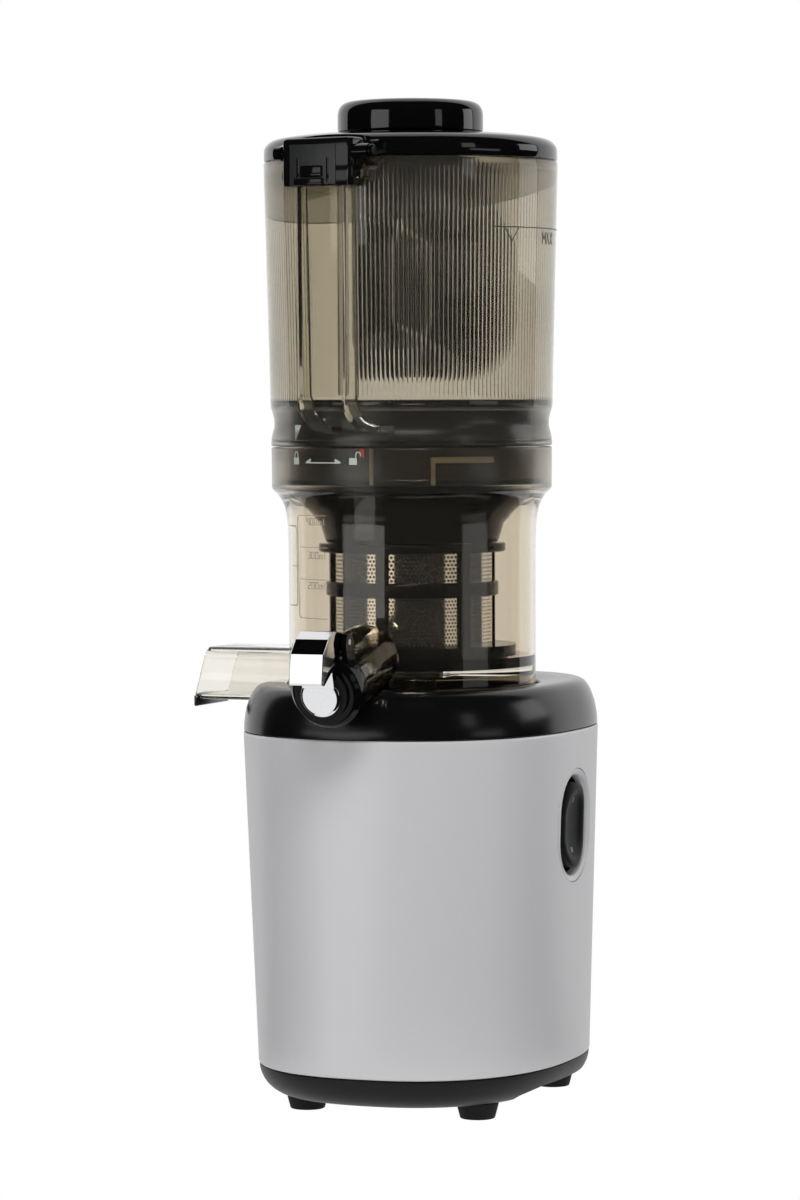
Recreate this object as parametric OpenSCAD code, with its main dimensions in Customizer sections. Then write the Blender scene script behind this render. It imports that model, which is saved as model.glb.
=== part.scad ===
// Cold press juicer: drive base, clear juicing bowl, ribbed feed hopper with a hinged lid.
// All modules work around the upright axis of the bowl; placed() moves that axis so the
// origin lies on the floor under the middle of the whole machine. The front faces -Y.

/* [Drive base] */
// Half width of the oval body at its top rim
body_half_w = 81.3; // [72:0.1:92]
// Half depth of the oval body at its top rim
body_half_d = 99; // [90:0.1:112]
// Distance of the body centre behind the bowl axis at the top rim
body_back = 12.9; // [8:0.1:20]
// How much the body narrows on each side towards the floor
body_taper = 5.1; // [2:0.1:9]
// How much the body shortens at front and back towards the floor
body_taper_d = 6.2; // [2:0.1:10]
// How far the body centre moves back towards the floor
body_lean = 2.7; // [0:0.1:6]
// Height of the silver shell
body_h = 162.8; // [140:0.1:190]
// Wall of the silver shell
body_wall = 2.6; // [2:0.1:4]
// Power of the oval outline, where 2 is an ellipse
squareness = 2.4; // [2:0.05:3]

/* [Tray and feet] */
// Height of the rubber feet
foot_h = 8; // [6:0.5:12]
// Radius of a rubber foot at the tray
foot_r = 10.5; // [8:0.5:13]
// Sideways distance of the feet from the middle
foot_x = 44.5; // [38:0.5:50]
// Distance of the front feet in front of the bowl axis
foot_front = 30; // [20:1:45]
// Distance of the rear feet behind the bowl axis
foot_rear = 78; // [60:1:82]
// Height of the black tray
tray_h = 14.9; // [12:0.1:18]
// Thickness of the tray floor
tray_floor = 3; // [2:0.1:4]
// How far the tray underside draws in from the body outline
tray_inset = 14; // [10:0.5:18]
// Height of the relief cut into each side of the tray
relief_h = 6.5; // [3:0.1:9]

/* [Top cover] */
// Height of the black cover over the silver rim
cover_h = 22.8; // [18:0.1:28]
// Wall of the cover
cover_wall = 2.6; // [2:0.1:4]
// How far the cover plateau draws in from its foot
cover_inset = 12; // [8:0.5:16]
// Depth of the round well that takes the bowl
well_depth = 12; // [8:0.5:14]
// Free space around the bowl in its well
well_gap = 1.6; // [0.8:0.1:3]

/* [Rocker switch] */
// Height of the cover's lower edge over the switch centre
switch_drop = 46.7; // [36:0.1:60]
// Half height of the silver dish around the switch
dish_half_h = 27.8; // [24:0.1:30]
// Half width of the silver dish around the switch
dish_half_w = 22; // [19:0.5:24]
// Half height of the rocker
rocker_half_h = 21; // [18:0.5:22]
// Half width of the rocker
rocker_half_w = 16; // [13:0.5:17]
// Length of the switch housing behind the rocker
switch_len = 16; // [12:1:20]

/* [Motor] */
// Radius of the motor stator
stator_r = 40; // [34:0.5:42]
// Height of the stator
stator_h = 62; // [50:1:66]
// Radius of the rotor
rotor_r = 22.5; // [18:0.5:26]
// Radius of the motor shaft
motor_shaft_r = 4; // [3:0.1:5]
// Wall of the motor brackets
bracket_wall = 3; // [2:0.5:4]
// Radius of the cooling fan
fan_r = 33; // [26:0.5:35]
// Height of the cooling fan
fan_h = 9; // [6:0.5:10]
// Number of fan blades
fan_blades = 9; // [5:1:13]

/* [Gear train] */
// Tooth module of the first stage
mod_1 = 1; // [0.8:0.05:1.2]
// Tooth module of the second stage
mod_2 = 1.25; // [1:0.05:1.4]
// Teeth of the motor pinion
pinion_1_teeth = 12; // [12:1:16]
// Teeth of the large gear of the first stage
wheel_1_teeth = 60; // [48:1:64]
// Teeth of the pinion of the second stage
pinion_2_teeth = 14; // [13:1:18]
// Teeth of the output gear
wheel_2_teeth = 64; // [52:1:66]
// Face width of the first stage
face_1 = 8; // [6:0.5:10]
// Face width of the second stage
face_2 = 10; // [8:0.5:12]
// Direction of the motor seen from the intermediate shaft
motor_turn = 25; // [15:1:40]
// Radius of the output shaft
output_r = 6; // [5:0.1:7]
// Corner radius of the six-sided drive end
hex_r = 9; // [8:0.1:10]

/* [Bowl] */
// Outer radius of the bowl
bowl_r = 60.7; // [56:0.1:64]
// Wall of the bowl
bowl_wall = 2.6; // [2:0.1:3.5]
// Height of the bowl up to its lock ring
bowl_h = 106.5; // [90:0.1:120]
// Height of the lock ring
lock_h = 20.6; // [16:0.1:26]
// How far the lock ring stands out from the bowl
lock_flare = 7.9; // [5:0.1:10]
// Height of the bowl floor over its lower edge
bowl_floor_h = 19.5; // [16:0.5:24]
// Thickness of the bowl floor
bowl_floor = 3; // [2:0.1:4]

/* [Juice spout] */
// Outer radius of the juice spout
spout_r = 16; // [13:0.1:18]
// Wall of the juice spout
spout_wall = 2.2; // [1.6:0.1:3]
// Fall of the spout
spout_fall = 15; // [8:1:20]
// Length of the spout from the bowl wall to the front of its collar
spout_len = 54.9; // [45:0.1:65]
// Outer radius of the collar
collar_r = 17.8; // [15:0.1:20]
// Length of the collar
collar_len = 14; // [10:0.5:18]
// Width of the chrome lever
lever_w = 16.5; // [12:0.5:19]
// Length of the chrome lever along the spout
lever_len = 20.8; // [16:0.1:24]
// Height of the chrome lever across the spout
lever_h = 21.1; // [17:0.1:24]
// Radius of the chrome disc
disc_r = 9.8; // [8:0.1:11]

/* [Pulp chute] */
// Distance of the chute lip from the bowl axis
chute_reach = 109; // [100:0.5:114]
// Outer half width of the chute
chute_half_w = 21.5; // [16:0.5:24]
// Outer height of the chute
chute_h = 26; // [22:0.5:28]
// Wall of the chute
chute_wall = 2; // [1.6:0.1:3]
// How far the lower end of the chute stands past its upper end
chute_slant = 7; // [4:0.5:12]
// Height of the drip lip under the chute
lip_h = 3.5; // [2:0.1:4]

/* [Strainer and auger] */
// Distance of the strainer bars inside the outer face of the bowl
strainer_inset = 19.9; // [18:0.1:23]
// Number of strainer bars
bar_count = 6; // [4:1:8]
// Width of a strainer bar
bar_w = 5.9; // [4:0.1:8]
// How far the upper strainer ring stands out from the bars
ring_1_out = 5; // [3:0.1:7]
// How far the middle strainer ring stands out from the bars
ring_2_out = 1.5; // [0.8:0.1:4]
// How far the strainer flange stands out from the bars
flange_out = 10; // [7:0.1:13]
// How much lower the strainer is than the bowl
strainer_drop = 48.9; // [44:0.1:56]
// Thickness of the steel sieve
sieve_t = 0.8; // [0.5:0.1:1.2]
// Distance of the auger flights inside the outer face of the strainer
auger_inset = 5.4; // [4:0.1:8]
// Width of the auger flights at the foot of the core
flight_w = 9.4; // [7:0.1:12]
// Width of the auger flights at the shoulder of the core
flight_top_w = 15.4; // [12:0.1:18]
// How far the auger stands up over the height of the strainer
auger_rise = 52.4; // [40:0.1:58]
// Turns of the auger flights
auger_turns = 1.5; // [1:0.25:2]

/* [Hopper] */
// How far the hopper rim stands out from the lock ring
hopper_flare = 3.3; // [2:0.1:5]
// How far the hopper stands out from the lock ring above its waist
hopper_step = 0.4; // [0:0.1:1]
// Height of the hopper over the lock ring
hopper_h = 138; // [120:0.5:160]
// Wall of the hopper
hopper_wall = 2.6; // [2:0.1:3.5]
// Height of the dark waist band
waist_h = 20; // [16:0.5:26]
// Depth of the hollow of the waist
waist_dip = 1.9; // [1:0.1:2.4]
// How far the funnel mouth stands out from the strainer bars
funnel_out = 0.8; // [0.4:0.1:2]

/* [Lid, hinge and channel] */
// How far the lid is set in from the hopper rim
lid_inset = 0.2; // [0:0.1:1]
// Height of the lid over the hopper rim
lid_h = 13.9; // [11:0.1:17]
// Depth of the lid skirt on the hinge side
skirt_deep = 31.8; // [24:0.1:34]
// Depth of the lid skirt on the far side
skirt_shallow = 3.4; // [2:0.1:8]
// Turn of the hinge from the front towards the chute
hinge_turn = 12; // [0:1:20]
// Distance of the hinge pin from the hopper rim
hinge_out = 7.1; // [6.6:0.1:9]
// Half width of the hinge block
block_half_w = 20.5; // [17:0.5:23]
// Height of the hinge block
block_h = 23; // [20:0.5:26]
// Half width of the clear channel
channel_half_w = 14.2; // [12:0.1:16]
// Radius of the hinge pin
pin_r = 2; // [1.5:0.1:2.5]
// Radius of the lid knuckles around the pin
knuckle_r = 6.4; // [5:0.1:7]

/* [Pusher] */
// Radius of the pusher
pusher_r = 30; // [26:0.1:31]
// Length of the pusher below the lid
pusher_len = 119.5; // [100:0.5:121]
// Radius of the pusher cap
cap_r = 35.6; // [33:0.1:38]
// Height of the pusher cap
cap_h = 15.4; // [12:0.1:19]
// Rounding of the cap edge
cap_round = 6.5; // [3:0.5:8]

/* [Hidden] */
$fn = 96;

// Radii that follow the bowl
lock_r = bowl_r + lock_flare;
strainer_r = bowl_r - strainer_inset;
ring_1_r = strainer_r + ring_1_out;
ring_2_r = strainer_r + ring_2_out;
flange_r = strainer_r + flange_out;
auger_r = strainer_r - auger_inset;
core_r = auger_r - flight_w;
core_top_r = auger_r - flight_top_w;
funnel_low_r = strainer_r + funnel_out;
hopper_r = lock_r + hopper_flare;
hopper_low_r = lock_r + hopper_step;
lid_r = hopper_r - lid_inset;
hinge_reach = hopper_r + hinge_out;
strainer_h = bowl_h - strainer_drop;
auger_h = strainer_h + auger_rise;

// Fits and small shared sizes
gap = 0.3;
slide_fit = 0.4;
pin_fit = 0.05;
over = 1;
sink = 0.2;
edge = 1;
air_gap = 2;
shaft_room = 2;
stack_gap = 3;
oval_steps = 72;
hex_sides = 6;

// Heights, from the floor up
tray_z = foot_h;
body_z = tray_z + tray_h;
cover_z = body_z + body_h;
plateau_z = cover_z + cover_h;
well_z = plateau_z - well_depth;
bowl_z = well_z + gap;
floor_z = bowl_z + bowl_floor_h;
lock_z = bowl_z + bowl_h;
lock_top_z = lock_z + lock_h;
hopper_z = lock_top_z + gap;
hopper_top_z = hopper_z + hopper_h;
lid_z = hopper_top_z + gap;
lid_top_z = lid_z + lid_h;
cap_z = lid_top_z + gap;
switch_z = cover_z - switch_drop;

// Spout geometry: s runs along the spout, n across it and up
spout_lift = 7.5;
spout_rise = bowl_floor_h + spout_lift;
spout_z = bowl_z + spout_rise;
function spout_y(s, n) = -(bowl_r + s * cos(spout_fall) + n * sin(spout_fall));
lever_bite = 0.5;
lever_s = spout_len - lever_bite;
lever_n = disc_r;
lever_tip_share = 0.057;
lever_reach = -spout_y(lever_s + lever_len, lever_n + lever_h * lever_tip_share);

// Place of the bowl axis, so that the origin is under the middle of the machine
axis_x = (chute_reach - body_half_w) / 2;
axis_y = (lever_reach - body_back - body_half_d) / 2;
module placed() { translate([axis_x, axis_y, 0]) children(); }

// Oval outline of the body at a share of its height, drawn in by an inset
body_low_half_w = body_half_w - body_taper;
body_low_half_d = body_half_d - body_taper_d;
body_low_back = body_back + body_lean;
function sgn_pow(v, p) = sign(v) * pow(abs(v), p);
function oval_ring(half_w, half_d, back, z) = [for (i = [0 : oval_steps - 1])
    let (t = i * 360 / oval_steps)
    [half_w * sgn_pow(cos(t), 2 / squareness), back + half_d * sgn_pow(sin(t), 2 / squareness), z]];
function oval_x(half_w, half_d, dy) = half_w * pow(1 - pow(abs(dy / half_d), squareness), 1 / squareness);
function low_ring(inset, z) = oval_ring(body_low_half_w - inset, body_low_half_d - inset, body_low_back, z);
function top_ring(inset, z) = oval_ring(body_half_w - inset, body_half_d - inset, body_back, z);

// Closed solid through a stack of equal rings of points
module loft(rings) {
    n = len(rings[0]);
    last = len(rings) - 1;
    points = [for (ring = rings) each ring];
    sides = [for (k = [0 : last - 1], i = [0 : n - 1])
        let (j = (i + 1) % n) [k * n + i, (k + 1) * n + i, (k + 1) * n + j, k * n + j]];
    polyhedron(points, concat([[for (i = [0 : n - 1]) i]], sides,
        [[for (i = [n - 1 : -1 : 0]) last * n + i]]));
}

// Round tube from z upwards
module tube(r_out, r_in, z, h) {
    translate([0, 0, z]) difference() {
        cylinder(r = r_out, h = h);
        translate([0, 0, -over]) cylinder(r = r_in, h = h + 2 * over);
    }
}

// Cylinder from z upwards
module rod(r, z, h) { translate([0, 0, z]) cylinder(r = r, h = h); }

// Rectangle with rounded corners, centred
module rounded_rect(w, h, r) {
    square([w - 2 * r, h], center = true);
    square([w, h - 2 * r], center = true);
    for (x = [-1, 1], y = [-1, 1]) translate([x * (w / 2 - r), y * (h / 2 - r)]) circle(r = r);
}

// Ring with rounded edges between two radii and two heights
module soft_ring(r_in, r_out, z, h, r) {
    rotate_extrude() translate([(r_in + r_out) / 2, z + h / 2]) rounded_rect(r_out - r_in, h, r);
}

// Wedge of a ring, centred on the front
module ring_arc(r_in, r_out, z, h, angle) {
    translate([0, 0, z]) rotate([0, 0, -90 - angle / 2]) rotate_extrude(angle = angle)
        translate([r_in, 0]) square([r_out - r_in, h]);
}

// Spur gear outline with straight flanks, one tooth on +X
backlash_share = 0.16;
addendum_share = 0.85;
dedendum_share = 1.15;
flank_angle = 22;
module gear_outline(teeth, mod) {
    pitch_r = teeth * mod / 2;
    root_r = pitch_r - dedendum_share * mod;
    tip_r = pitch_r + addendum_share * mod;
    half_t = mod * (PI / 4 - backlash_share);
    slope = tan(flank_angle);
    circle(r = root_r);
    for (i = [0 : teeth - 1]) rotate([0, 0, i * 360 / teeth]) polygon([
        [root_r - mod / 2, -half_t - dedendum_share * mod * slope],
        [root_r, -half_t - dedendum_share * mod * slope],
        [tip_r, -half_t + addendum_share * mod * slope],
        [tip_r, half_t - addendum_share * mod * slope],
        [root_r, half_t + dedendum_share * mod * slope],
        [root_r - mod / 2, half_t + dedendum_share * mod * slope]]);
}

// Feet and tray
foot_low_share = 0.8;
foot_stem_r = foot_r / 2.5;
foot_places = [[-foot_x, -foot_front], [foot_x, -foot_front], [-foot_x, foot_rear], [foot_x, foot_rear]];
module rubber_feet() {
    color([0.09, 0.09, 0.09]) placed() for (p = foot_places) translate([p[0], p[1], 0]) {
        cylinder(r1 = foot_r * foot_low_share, r2 = foot_r, h = foot_h);
        rod(foot_stem_r, foot_h - sink, tray_floor + sink);
    }
}

relief_front = 27;
relief_rear = 68;
relief_x = body_low_half_w - tray_inset - tray_floor;
boss_r = 5.5;
boss_x = 20;
boss_dy = oval_x(body_low_half_d, body_low_half_w, boss_x) - tray_inset - boss_r;
boss_h = 22;
screw_r = 1.9;
screw_head_r = 3.6;
screw_head_h = 2.4;
boss_places = [for (x = [-1, 1], y = [-1, 1]) [x * boss_x, body_low_back + y * boss_dy]];
tongue_h = 3;
tongue_fit = 0.15;
socket_floor = 2;
tray_outline_shares = [[1, 0], [0.57, 0.09], [0.27, 0.27], [0.08, 0.55]];
tray_hollow_shares = [0.27, 0.45];
post_r = 6;
mount_h = 4;
mount_r = 8;
motor_floor_z = tray_z + tray_floor;
module relief(grow) {
    for (side = [-1, 1]) translate([side > 0 ? relief_x - grow : -relief_x - body_half_w,
        -relief_front - grow, -over])
        cube([body_half_w + grow, relief_front + relief_rear + 2 * grow, tray_z + relief_h + over + grow]);
}
module base_tray() {
    color([0.11, 0.11, 0.11]) placed() difference() {
        union() {
            difference() {
                loft([for (p = tray_outline_shares) low_ring(tray_inset * p[0], tray_z + tray_h * p[1]),
                    low_ring(sink, body_z)]);
                difference() {
                    loft([low_ring(tray_inset + tray_floor, motor_floor_z),
                        low_ring(tray_inset * tray_hollow_shares[0] + body_wall + edge,
                            tray_z + tray_h * tray_hollow_shares[1]),
                        low_ring(2 * body_wall, body_z + over)]);
                    relief(tray_floor);
                }
            }
            difference() {
                loft([low_ring(body_wall + tongue_fit, body_z - edge),
                    low_ring(body_wall + tongue_fit, body_z + tongue_h)]);
                loft([low_ring(2 * body_wall, body_z - tongue_h),
                    low_ring(2 * body_wall, body_z + tongue_h + over)]);
            }
            for (p = boss_places) translate([p[0], p[1], 0])
                rod(boss_r, motor_floor_z - sink, body_z + tongue_h - motor_floor_z + sink);
            for (p = motor_feet) translate([p[0], p[1], 0])
                rod(post_r, motor_floor_z - sink, post_h + sink);
            for (p = foot_places) translate([p[0], p[1], 0]) rod(foot_r, tray_z, tray_floor + edge);
        }
        relief(0);
        for (p = boss_places) translate([p[0], p[1], 0]) {
            rod(screw_r + gap, tray_z - over, tray_h + 2 * over + tongue_h);
            rod(screw_head_r + gap, tray_z - over, over + screw_seat_h);
        }
        for (p = foot_places) translate([p[0], p[1], 0]) rod(foot_stem_r, tray_z - over, tray_floor + over);
        for (i = [-3 : 3])
            translate([motor_x + i * vent_pitch - vent_w / 2, motor_y - vent_len / 2, tray_z - over])
                cube([vent_w, vent_len, tray_floor + 2 * over]);
        translate([motor_x, motor_y, 0]) rod(motor_shaft_r, tray_z + socket_floor, tray_floor);
    }
}
vent_w = 4;
vent_pitch = 8;
vent_len = 52;
screw_seat_h = 6;
module base_screws() {
    color([0.6, 0.6, 0.62]) placed() for (p = boss_places) translate([p[0], p[1], 0]) {
        rod(screw_r, tray_z + screw_seat_h - sink, tray_h + boss_h - screw_seat_h);
        rod(screw_head_r, tray_z + screw_seat_h - screw_head_h, screw_head_h);
    }
}

// Silver shell of the base
gland_rise = 24;
gland_z = body_z + gland_rise;
gland_r = 8;
gland_bore_r = 3.6;
lean_angle = atan(body_taper / body_h);
height_share = (switch_z - body_z) / body_h;
switch_y = body_back + body_lean * (1 - height_share);
switch_x = body_low_half_w + body_taper * height_share;
module at_switch() { translate([switch_x, switch_y, switch_z]) rotate([0, 90 + lean_angle, 0]) children(); }
gland_y = body_low_back + body_low_half_d + body_taper_d * (gland_z - body_z) / body_h;
module body_shell() {
    color([0.68, 0.68, 0.69]) placed() difference() {
        union() {
            difference() {
                loft([low_ring(0, body_z), top_ring(0, cover_z)]);
                loft([low_ring(body_wall, body_z - over), top_ring(body_wall, cover_z + over)]);
            }
            intersection() {
                union() {
                    for (p = boss_places) translate([p[0], p[1], body_z + tongue_h + sink]) {
                        cylinder(r = boss_r, h = boss_h);
                        translate([-body_wall / 2, p[1] > body_low_back ? 0 : -tray_inset - 2 * boss_r, 0])
                            cube([body_wall, tray_inset + 2 * boss_r, boss_h]);
                    }
                    for (x = board_post_shares, z = board_post_shares)
                        translate([x * board_w / 2, board_y + board_t, board_z + (1 + z) * board_h / 2])
                            rotate([-90, 0, 0]) cylinder(r = board_post_r, h = body_half_d);
                }
                loft([low_ring(edge, body_z), top_ring(edge, cover_z)]);
            }
        }
        for (p = boss_places) translate([p[0], p[1], 0]) rod(screw_r, body_z, boss_h);
        at_switch() capsule_block(dish_half_h + sink, dish_half_w + sink, -dish_half_h, 2 * dish_half_h);
        translate([0, gland_y, gland_z]) rotate([90, 0, 0])
            cylinder(r = gland_r, h = 6 * body_wall, center = true);
    }
}
gland_lip = 1.5;
module cord_gland() {
    color([0.1, 0.1, 0.1]) placed() translate([0, gland_y, gland_z]) rotate([90, 0, 0]) difference() {
        union() {
            translate([0, 0, -gland_lip - gap]) cylinder(r = gland_r + gland_lip, h = gland_lip);
            translate([0, 0, -gap - sink]) cylinder(r = gland_r - sink, h = 3 * body_wall);
            translate([0, 0, body_wall + 3 * gap]) cylinder(r = gland_r + gland_lip, h = gland_lip);
        }
        cylinder(r = gland_bore_r, h = 20 * body_wall, center = true);
    }
}

// Rocker switch on the side, in its own frame with +Z out of the body and +X down
module capsule(half_h, half_w) {
    square([2 * (half_h - half_w), 2 * half_w], center = true);
    for (x = [-1, 1]) translate([x * (half_h - half_w), 0]) circle(r = half_w);
}
module capsule_block(half_h, half_w, z, h) { translate([0, 0, z]) linear_extrude(h)
    capsule(half_h, half_w); }
bezel_face = -0.9;
bezel_t = 4;
rocker_gap = 2.4;
mouth_half_h = rocker_half_h + rocker_gap;
mouth_half_w = rocker_half_w + rocker_gap;
dish_rim = 1.2;
dish_depth = 1.8;
module switch_bezel() {
    color([0.68, 0.68, 0.69]) placed() at_switch() difference() {
        capsule_block(dish_half_h, dish_half_w, bezel_face - bezel_t, bezel_t);
        capsule_block(mouth_half_h, mouth_half_w, bezel_face - bezel_t - over, bezel_t + 2 * over);
        capsule_block(dish_half_h - dish_rim, dish_half_w - dish_rim,
            bezel_face - dish_depth / 2, dish_depth);
        capsule_block((dish_half_h + mouth_half_h) / 2, (dish_half_w + mouth_half_w) / 2,
            bezel_face - dish_depth, dish_depth);
    }
}
rocker_t = 9;
rocker_face = 1;
rocker_rim = 1;
rocker_pivot = rocker_face - rocker_t - rocker_rim;
rocker_pin_r = 1.5;
housing_wall = 2;
housing_top = bezel_face - bezel_t;
module switch_housing() {
    color([0.12, 0.12, 0.12]) placed() at_switch() difference() {
        union() {
            capsule_block(mouth_half_h + housing_wall, mouth_half_w + housing_wall,
                housing_top - switch_len, switch_len);
            capsule_block(dish_half_h, dish_half_w, housing_top - housing_wall, housing_wall);
        }
        capsule_block(mouth_half_h, mouth_half_w, housing_top - switch_len + housing_wall, switch_len);
        translate([0, 0, rocker_pivot]) rotate([90, 0, 0])
            cylinder(r = rocker_pin_r, h = 2 * dish_half_h, center = true);
    }
}
saddle_depth = 2.4;
saddle_r = (rocker_half_h * rocker_half_h + saddle_depth * saddle_depth) / (2 * saddle_depth);
rocker_hub_r = 3;
rocker_hub_w = 2 * (rocker_half_w - rocker_gap);
module rocker_switch() {
    color([0.14, 0.15, 0.15]) placed() at_switch() difference() {
        union() {
            capsule_block(rocker_half_h, rocker_half_w, rocker_face - rocker_t, rocker_t - rocker_rim);
            capsule_block(rocker_half_h - rocker_rim, rocker_half_w - rocker_rim,
                rocker_face - rocker_t, rocker_t);
            translate([0, 0, rocker_pivot]) rotate([90, 0, 0])
                cylinder(r = rocker_hub_r, h = rocker_hub_w, center = true);
            translate([-rocker_hub_r, -rocker_hub_w / 2, rocker_pivot])
                cube([2 * rocker_hub_r, rocker_hub_w, rocker_hub_r]);
        }
        translate([0, 0, rocker_face + saddle_r - saddle_depth]) rotate([90, 0, 0])
            cylinder(r = saddle_r, h = 3 * rocker_half_h, center = true);
        translate([0, 0, rocker_pivot]) rotate([90, 0, 0])
            cylinder(r = rocker_pin_r + pin_fit, h = 3 * rocker_half_h, center = true);
    }
}
module rocker_pin() {
    color([0.7, 0.7, 0.7]) placed() at_switch() translate([0, 0, rocker_pivot]) rotate([90, 0, 0])
        cylinder(r = rocker_pin_r, h = 2 * (mouth_half_w + housing_wall), center = true);
}

// Black top cover with the well, the chute notch and the spout groove
well_r = bowl_r + well_gap;
notch_gap = 1.2;
chute_rise = 2;
chute_z = bowl_z + chute_rise;
notch_z = chute_z - lip_h - notch_gap;
collar_hub_r = 12;
seal_r = 10;
seal_h = 5;
cover_outline_shares = [[0.05, 0.2], [0.22, 0.6], [0.38, 0.82], [0.62, 0.95]];
module cover_solid(inset) {
    loft([top_ring(sink + inset, cover_z - (inset > 0 ? over : 0)),
        for (p = cover_outline_shares)
            top_ring(cover_inset * p[0] + inset, cover_z + cover_h * p[1] - inset),
        top_ring(cover_inset + inset, plateau_z - inset)]);
}
module notch(grow) {
    translate([-2 * body_half_w, -chute_half_w - notch_gap - grow, notch_z - grow])
        cube([2 * body_half_w - well_r / 2, 2 * (chute_half_w + notch_gap + grow), 2 * cover_h]);
}
module groove(grow) {
    translate([0, -bowl_r, spout_z]) rotate([90 + spout_fall, 0, 0])
        translate([0, 0, -spout_r]) cylinder(r = spout_r + notch_gap + grow, h = body_half_d);
}
module top_cover() {
    color([0.08, 0.08, 0.08]) placed() difference() {
        union() {
            difference() {
                cover_solid(0);
                cover_solid(cover_wall);
            }
            difference() {
                loft([top_ring(body_wall + tongue_fit, cover_z - tongue_h),
                    top_ring(body_wall + tongue_fit, cover_z + edge)]);
                loft([top_ring(2 * body_wall, cover_z - 2 * tongue_h),
                    top_ring(2 * body_wall, cover_z + tongue_h)]);
            }
            intersection() {
                cover_solid(0);
                union() {
                    rod(well_r + cover_wall, well_z - cover_wall, well_depth + cover_wall);
                    notch(cover_wall);
                    groove(cover_wall);
                }
            }
            rod(collar_hub_r, well_z - sink, seal_h + sink);
        }
        difference() {
            rod(well_r, well_z, well_depth + over);
            rod(collar_hub_r, well_z - over, seal_h + over);
        }
        notch(0);
        groove(0);
        rod(output_r + edge, well_z - 2 * cover_wall, 4 * cover_wall);
        rod(seal_r, well_z + edge, seal_h);
    }
}
module shaft_seal() {
    color([0.2, 0.2, 0.2]) placed() tube(seal_r, output_r + gap, well_z + edge, seal_h - edge);
}

// Gear centres: output on the bowl axis, intermediate behind it, motor beside it
stage_2_reach = (pinion_2_teeth + wheel_2_teeth) * mod_2 / 2;
stage_1_reach = (pinion_1_teeth + wheel_1_teeth) * mod_1 / 2;
motor_x = -stage_1_reach * sin(motor_turn);
motor_y = stage_2_reach - stage_1_reach * cos(motor_turn);
module at_motor() { translate([motor_x, motor_y, 0]) children(); }
module at_intermediate() { translate([0, stage_2_reach, 0]) children(); }

// Motor, standing on four rubber mounts
post_h = 15;
motor_z = motor_floor_z + post_h + mount_h;
foot_ring_r = stator_r + bracket_wall + mount_r - edge;
motor_feet = [for (a = [45 : 90 : 315]) [motor_x + foot_ring_r * cos(a), motor_y + foot_ring_r * sin(a)]];
bracket_floor = 4;
winding_h = 8;
winding_round = 2;
stator_z = motor_z + bracket_floor + winding_h;
motor_top_z = stator_z + stator_h + winding_h + bracket_floor;
cup_h_share = 0.42;
cup_h = bracket_floor + winding_h + stator_h * cup_h_share;
bearing_r = 9;
bearing_h = 6;
vent_r = 5;
vent_share = 0.62;
module motor_mounts() {
    color([0.15, 0.15, 0.15]) placed() for (p = motor_feet) translate([p[0], p[1], 0])
        rod(mount_r, motor_floor_z + post_h, mount_h);
}
module bracket_cup(z, top) {
    difference() {
        rod(stator_r + bracket_wall, z, cup_h);
        rod(stator_r, top ? z - over : z + bracket_floor, cup_h - bracket_floor + over);
        rod(bearing_r, z - over, cup_h + 2 * over);
        for (a = [0 : 60 : 300]) rotate([0, 0, a]) translate([stator_r * vent_share, 0, 0])
            rod(vent_r, z - over, cup_h + 2 * over);
    }
}
module motor_lower_bracket() {
    color([0.62, 0.63, 0.65]) placed() {
        at_motor() bracket_cup(motor_z, false);
        difference() {
            for (p = motor_feet) translate([p[0], p[1], 0]) rod(mount_r, motor_z, bracket_floor);
            at_motor() rod(stator_r + bracket_wall - sink, motor_z - over, bracket_floor + 2 * over);
        }
    }
}
module motor_upper_bracket() {
    color([0.62, 0.63, 0.65]) placed() at_motor() bracket_cup(motor_top_z - cup_h, true);
}
module motor_stator() {
    color([0.45, 0.46, 0.48]) placed() at_motor() tube(stator_r, rotor_r + air_gap, stator_z, stator_h);
}
module motor_windings() {
    color([0.72, 0.4, 0.2]) placed() at_motor() for (z = [stator_z - winding_h + edge, stator_z + stator_h])
        soft_ring(rotor_r + air_gap, stator_r - air_gap, z, winding_h - edge, winding_round);
}
module motor_bearings() {
    color([0.75, 0.76, 0.78]) placed() at_motor() for (top = [false, true]) {
        z = top ? motor_top_z - bracket_floor : motor_z - bearing_h + bracket_floor;
        difference() {
            union() {
                rod(bearing_r, z, bearing_h);
                rod(bearing_r + edge, top ? z + bracket_floor + sink : z, edge);
            }
            rod(motor_shaft_r + pin_fit, z - over, bearing_h + 2 * over);
        }
    }
}
module motor_rotor() {
    color([0.5, 0.5, 0.52]) placed() at_motor()
        tube(rotor_r, motor_shaft_r, stator_z + air_gap / 2, stator_h - air_gap);
}
shaft_foot_z = motor_floor_z + shaft_room;
module motor_shaft() {
    color([0.75, 0.75, 0.78]) placed() at_motor()
        rod(motor_shaft_r, shaft_foot_z, pinion_z + face_1 + edge - shaft_foot_z);
}
fan_rise = 3;
fan_z = motor_floor_z + fan_rise;
fan_hub_r = 10;
blade_t = 1.6;
module cooling_fan() {
    color([0.2, 0.2, 0.22]) placed() at_motor() difference() {
        union() {
            rod(fan_r, fan_z, blade_t);
            rod(fan_hub_r, fan_z, fan_h);
            for (i = [0 : fan_blades - 1]) rotate([0, 0, i * 360 / fan_blades])
                translate([fan_hub_r / 2, -blade_t / 2, fan_z + blade_t / 2])
                    cube([fan_r - fan_hub_r / 2 - blade_t, blade_t, fan_h - blade_t]);
        }
        rod(motor_shaft_r, fan_z - over, fan_h + 2 * over);
    }
}

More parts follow.
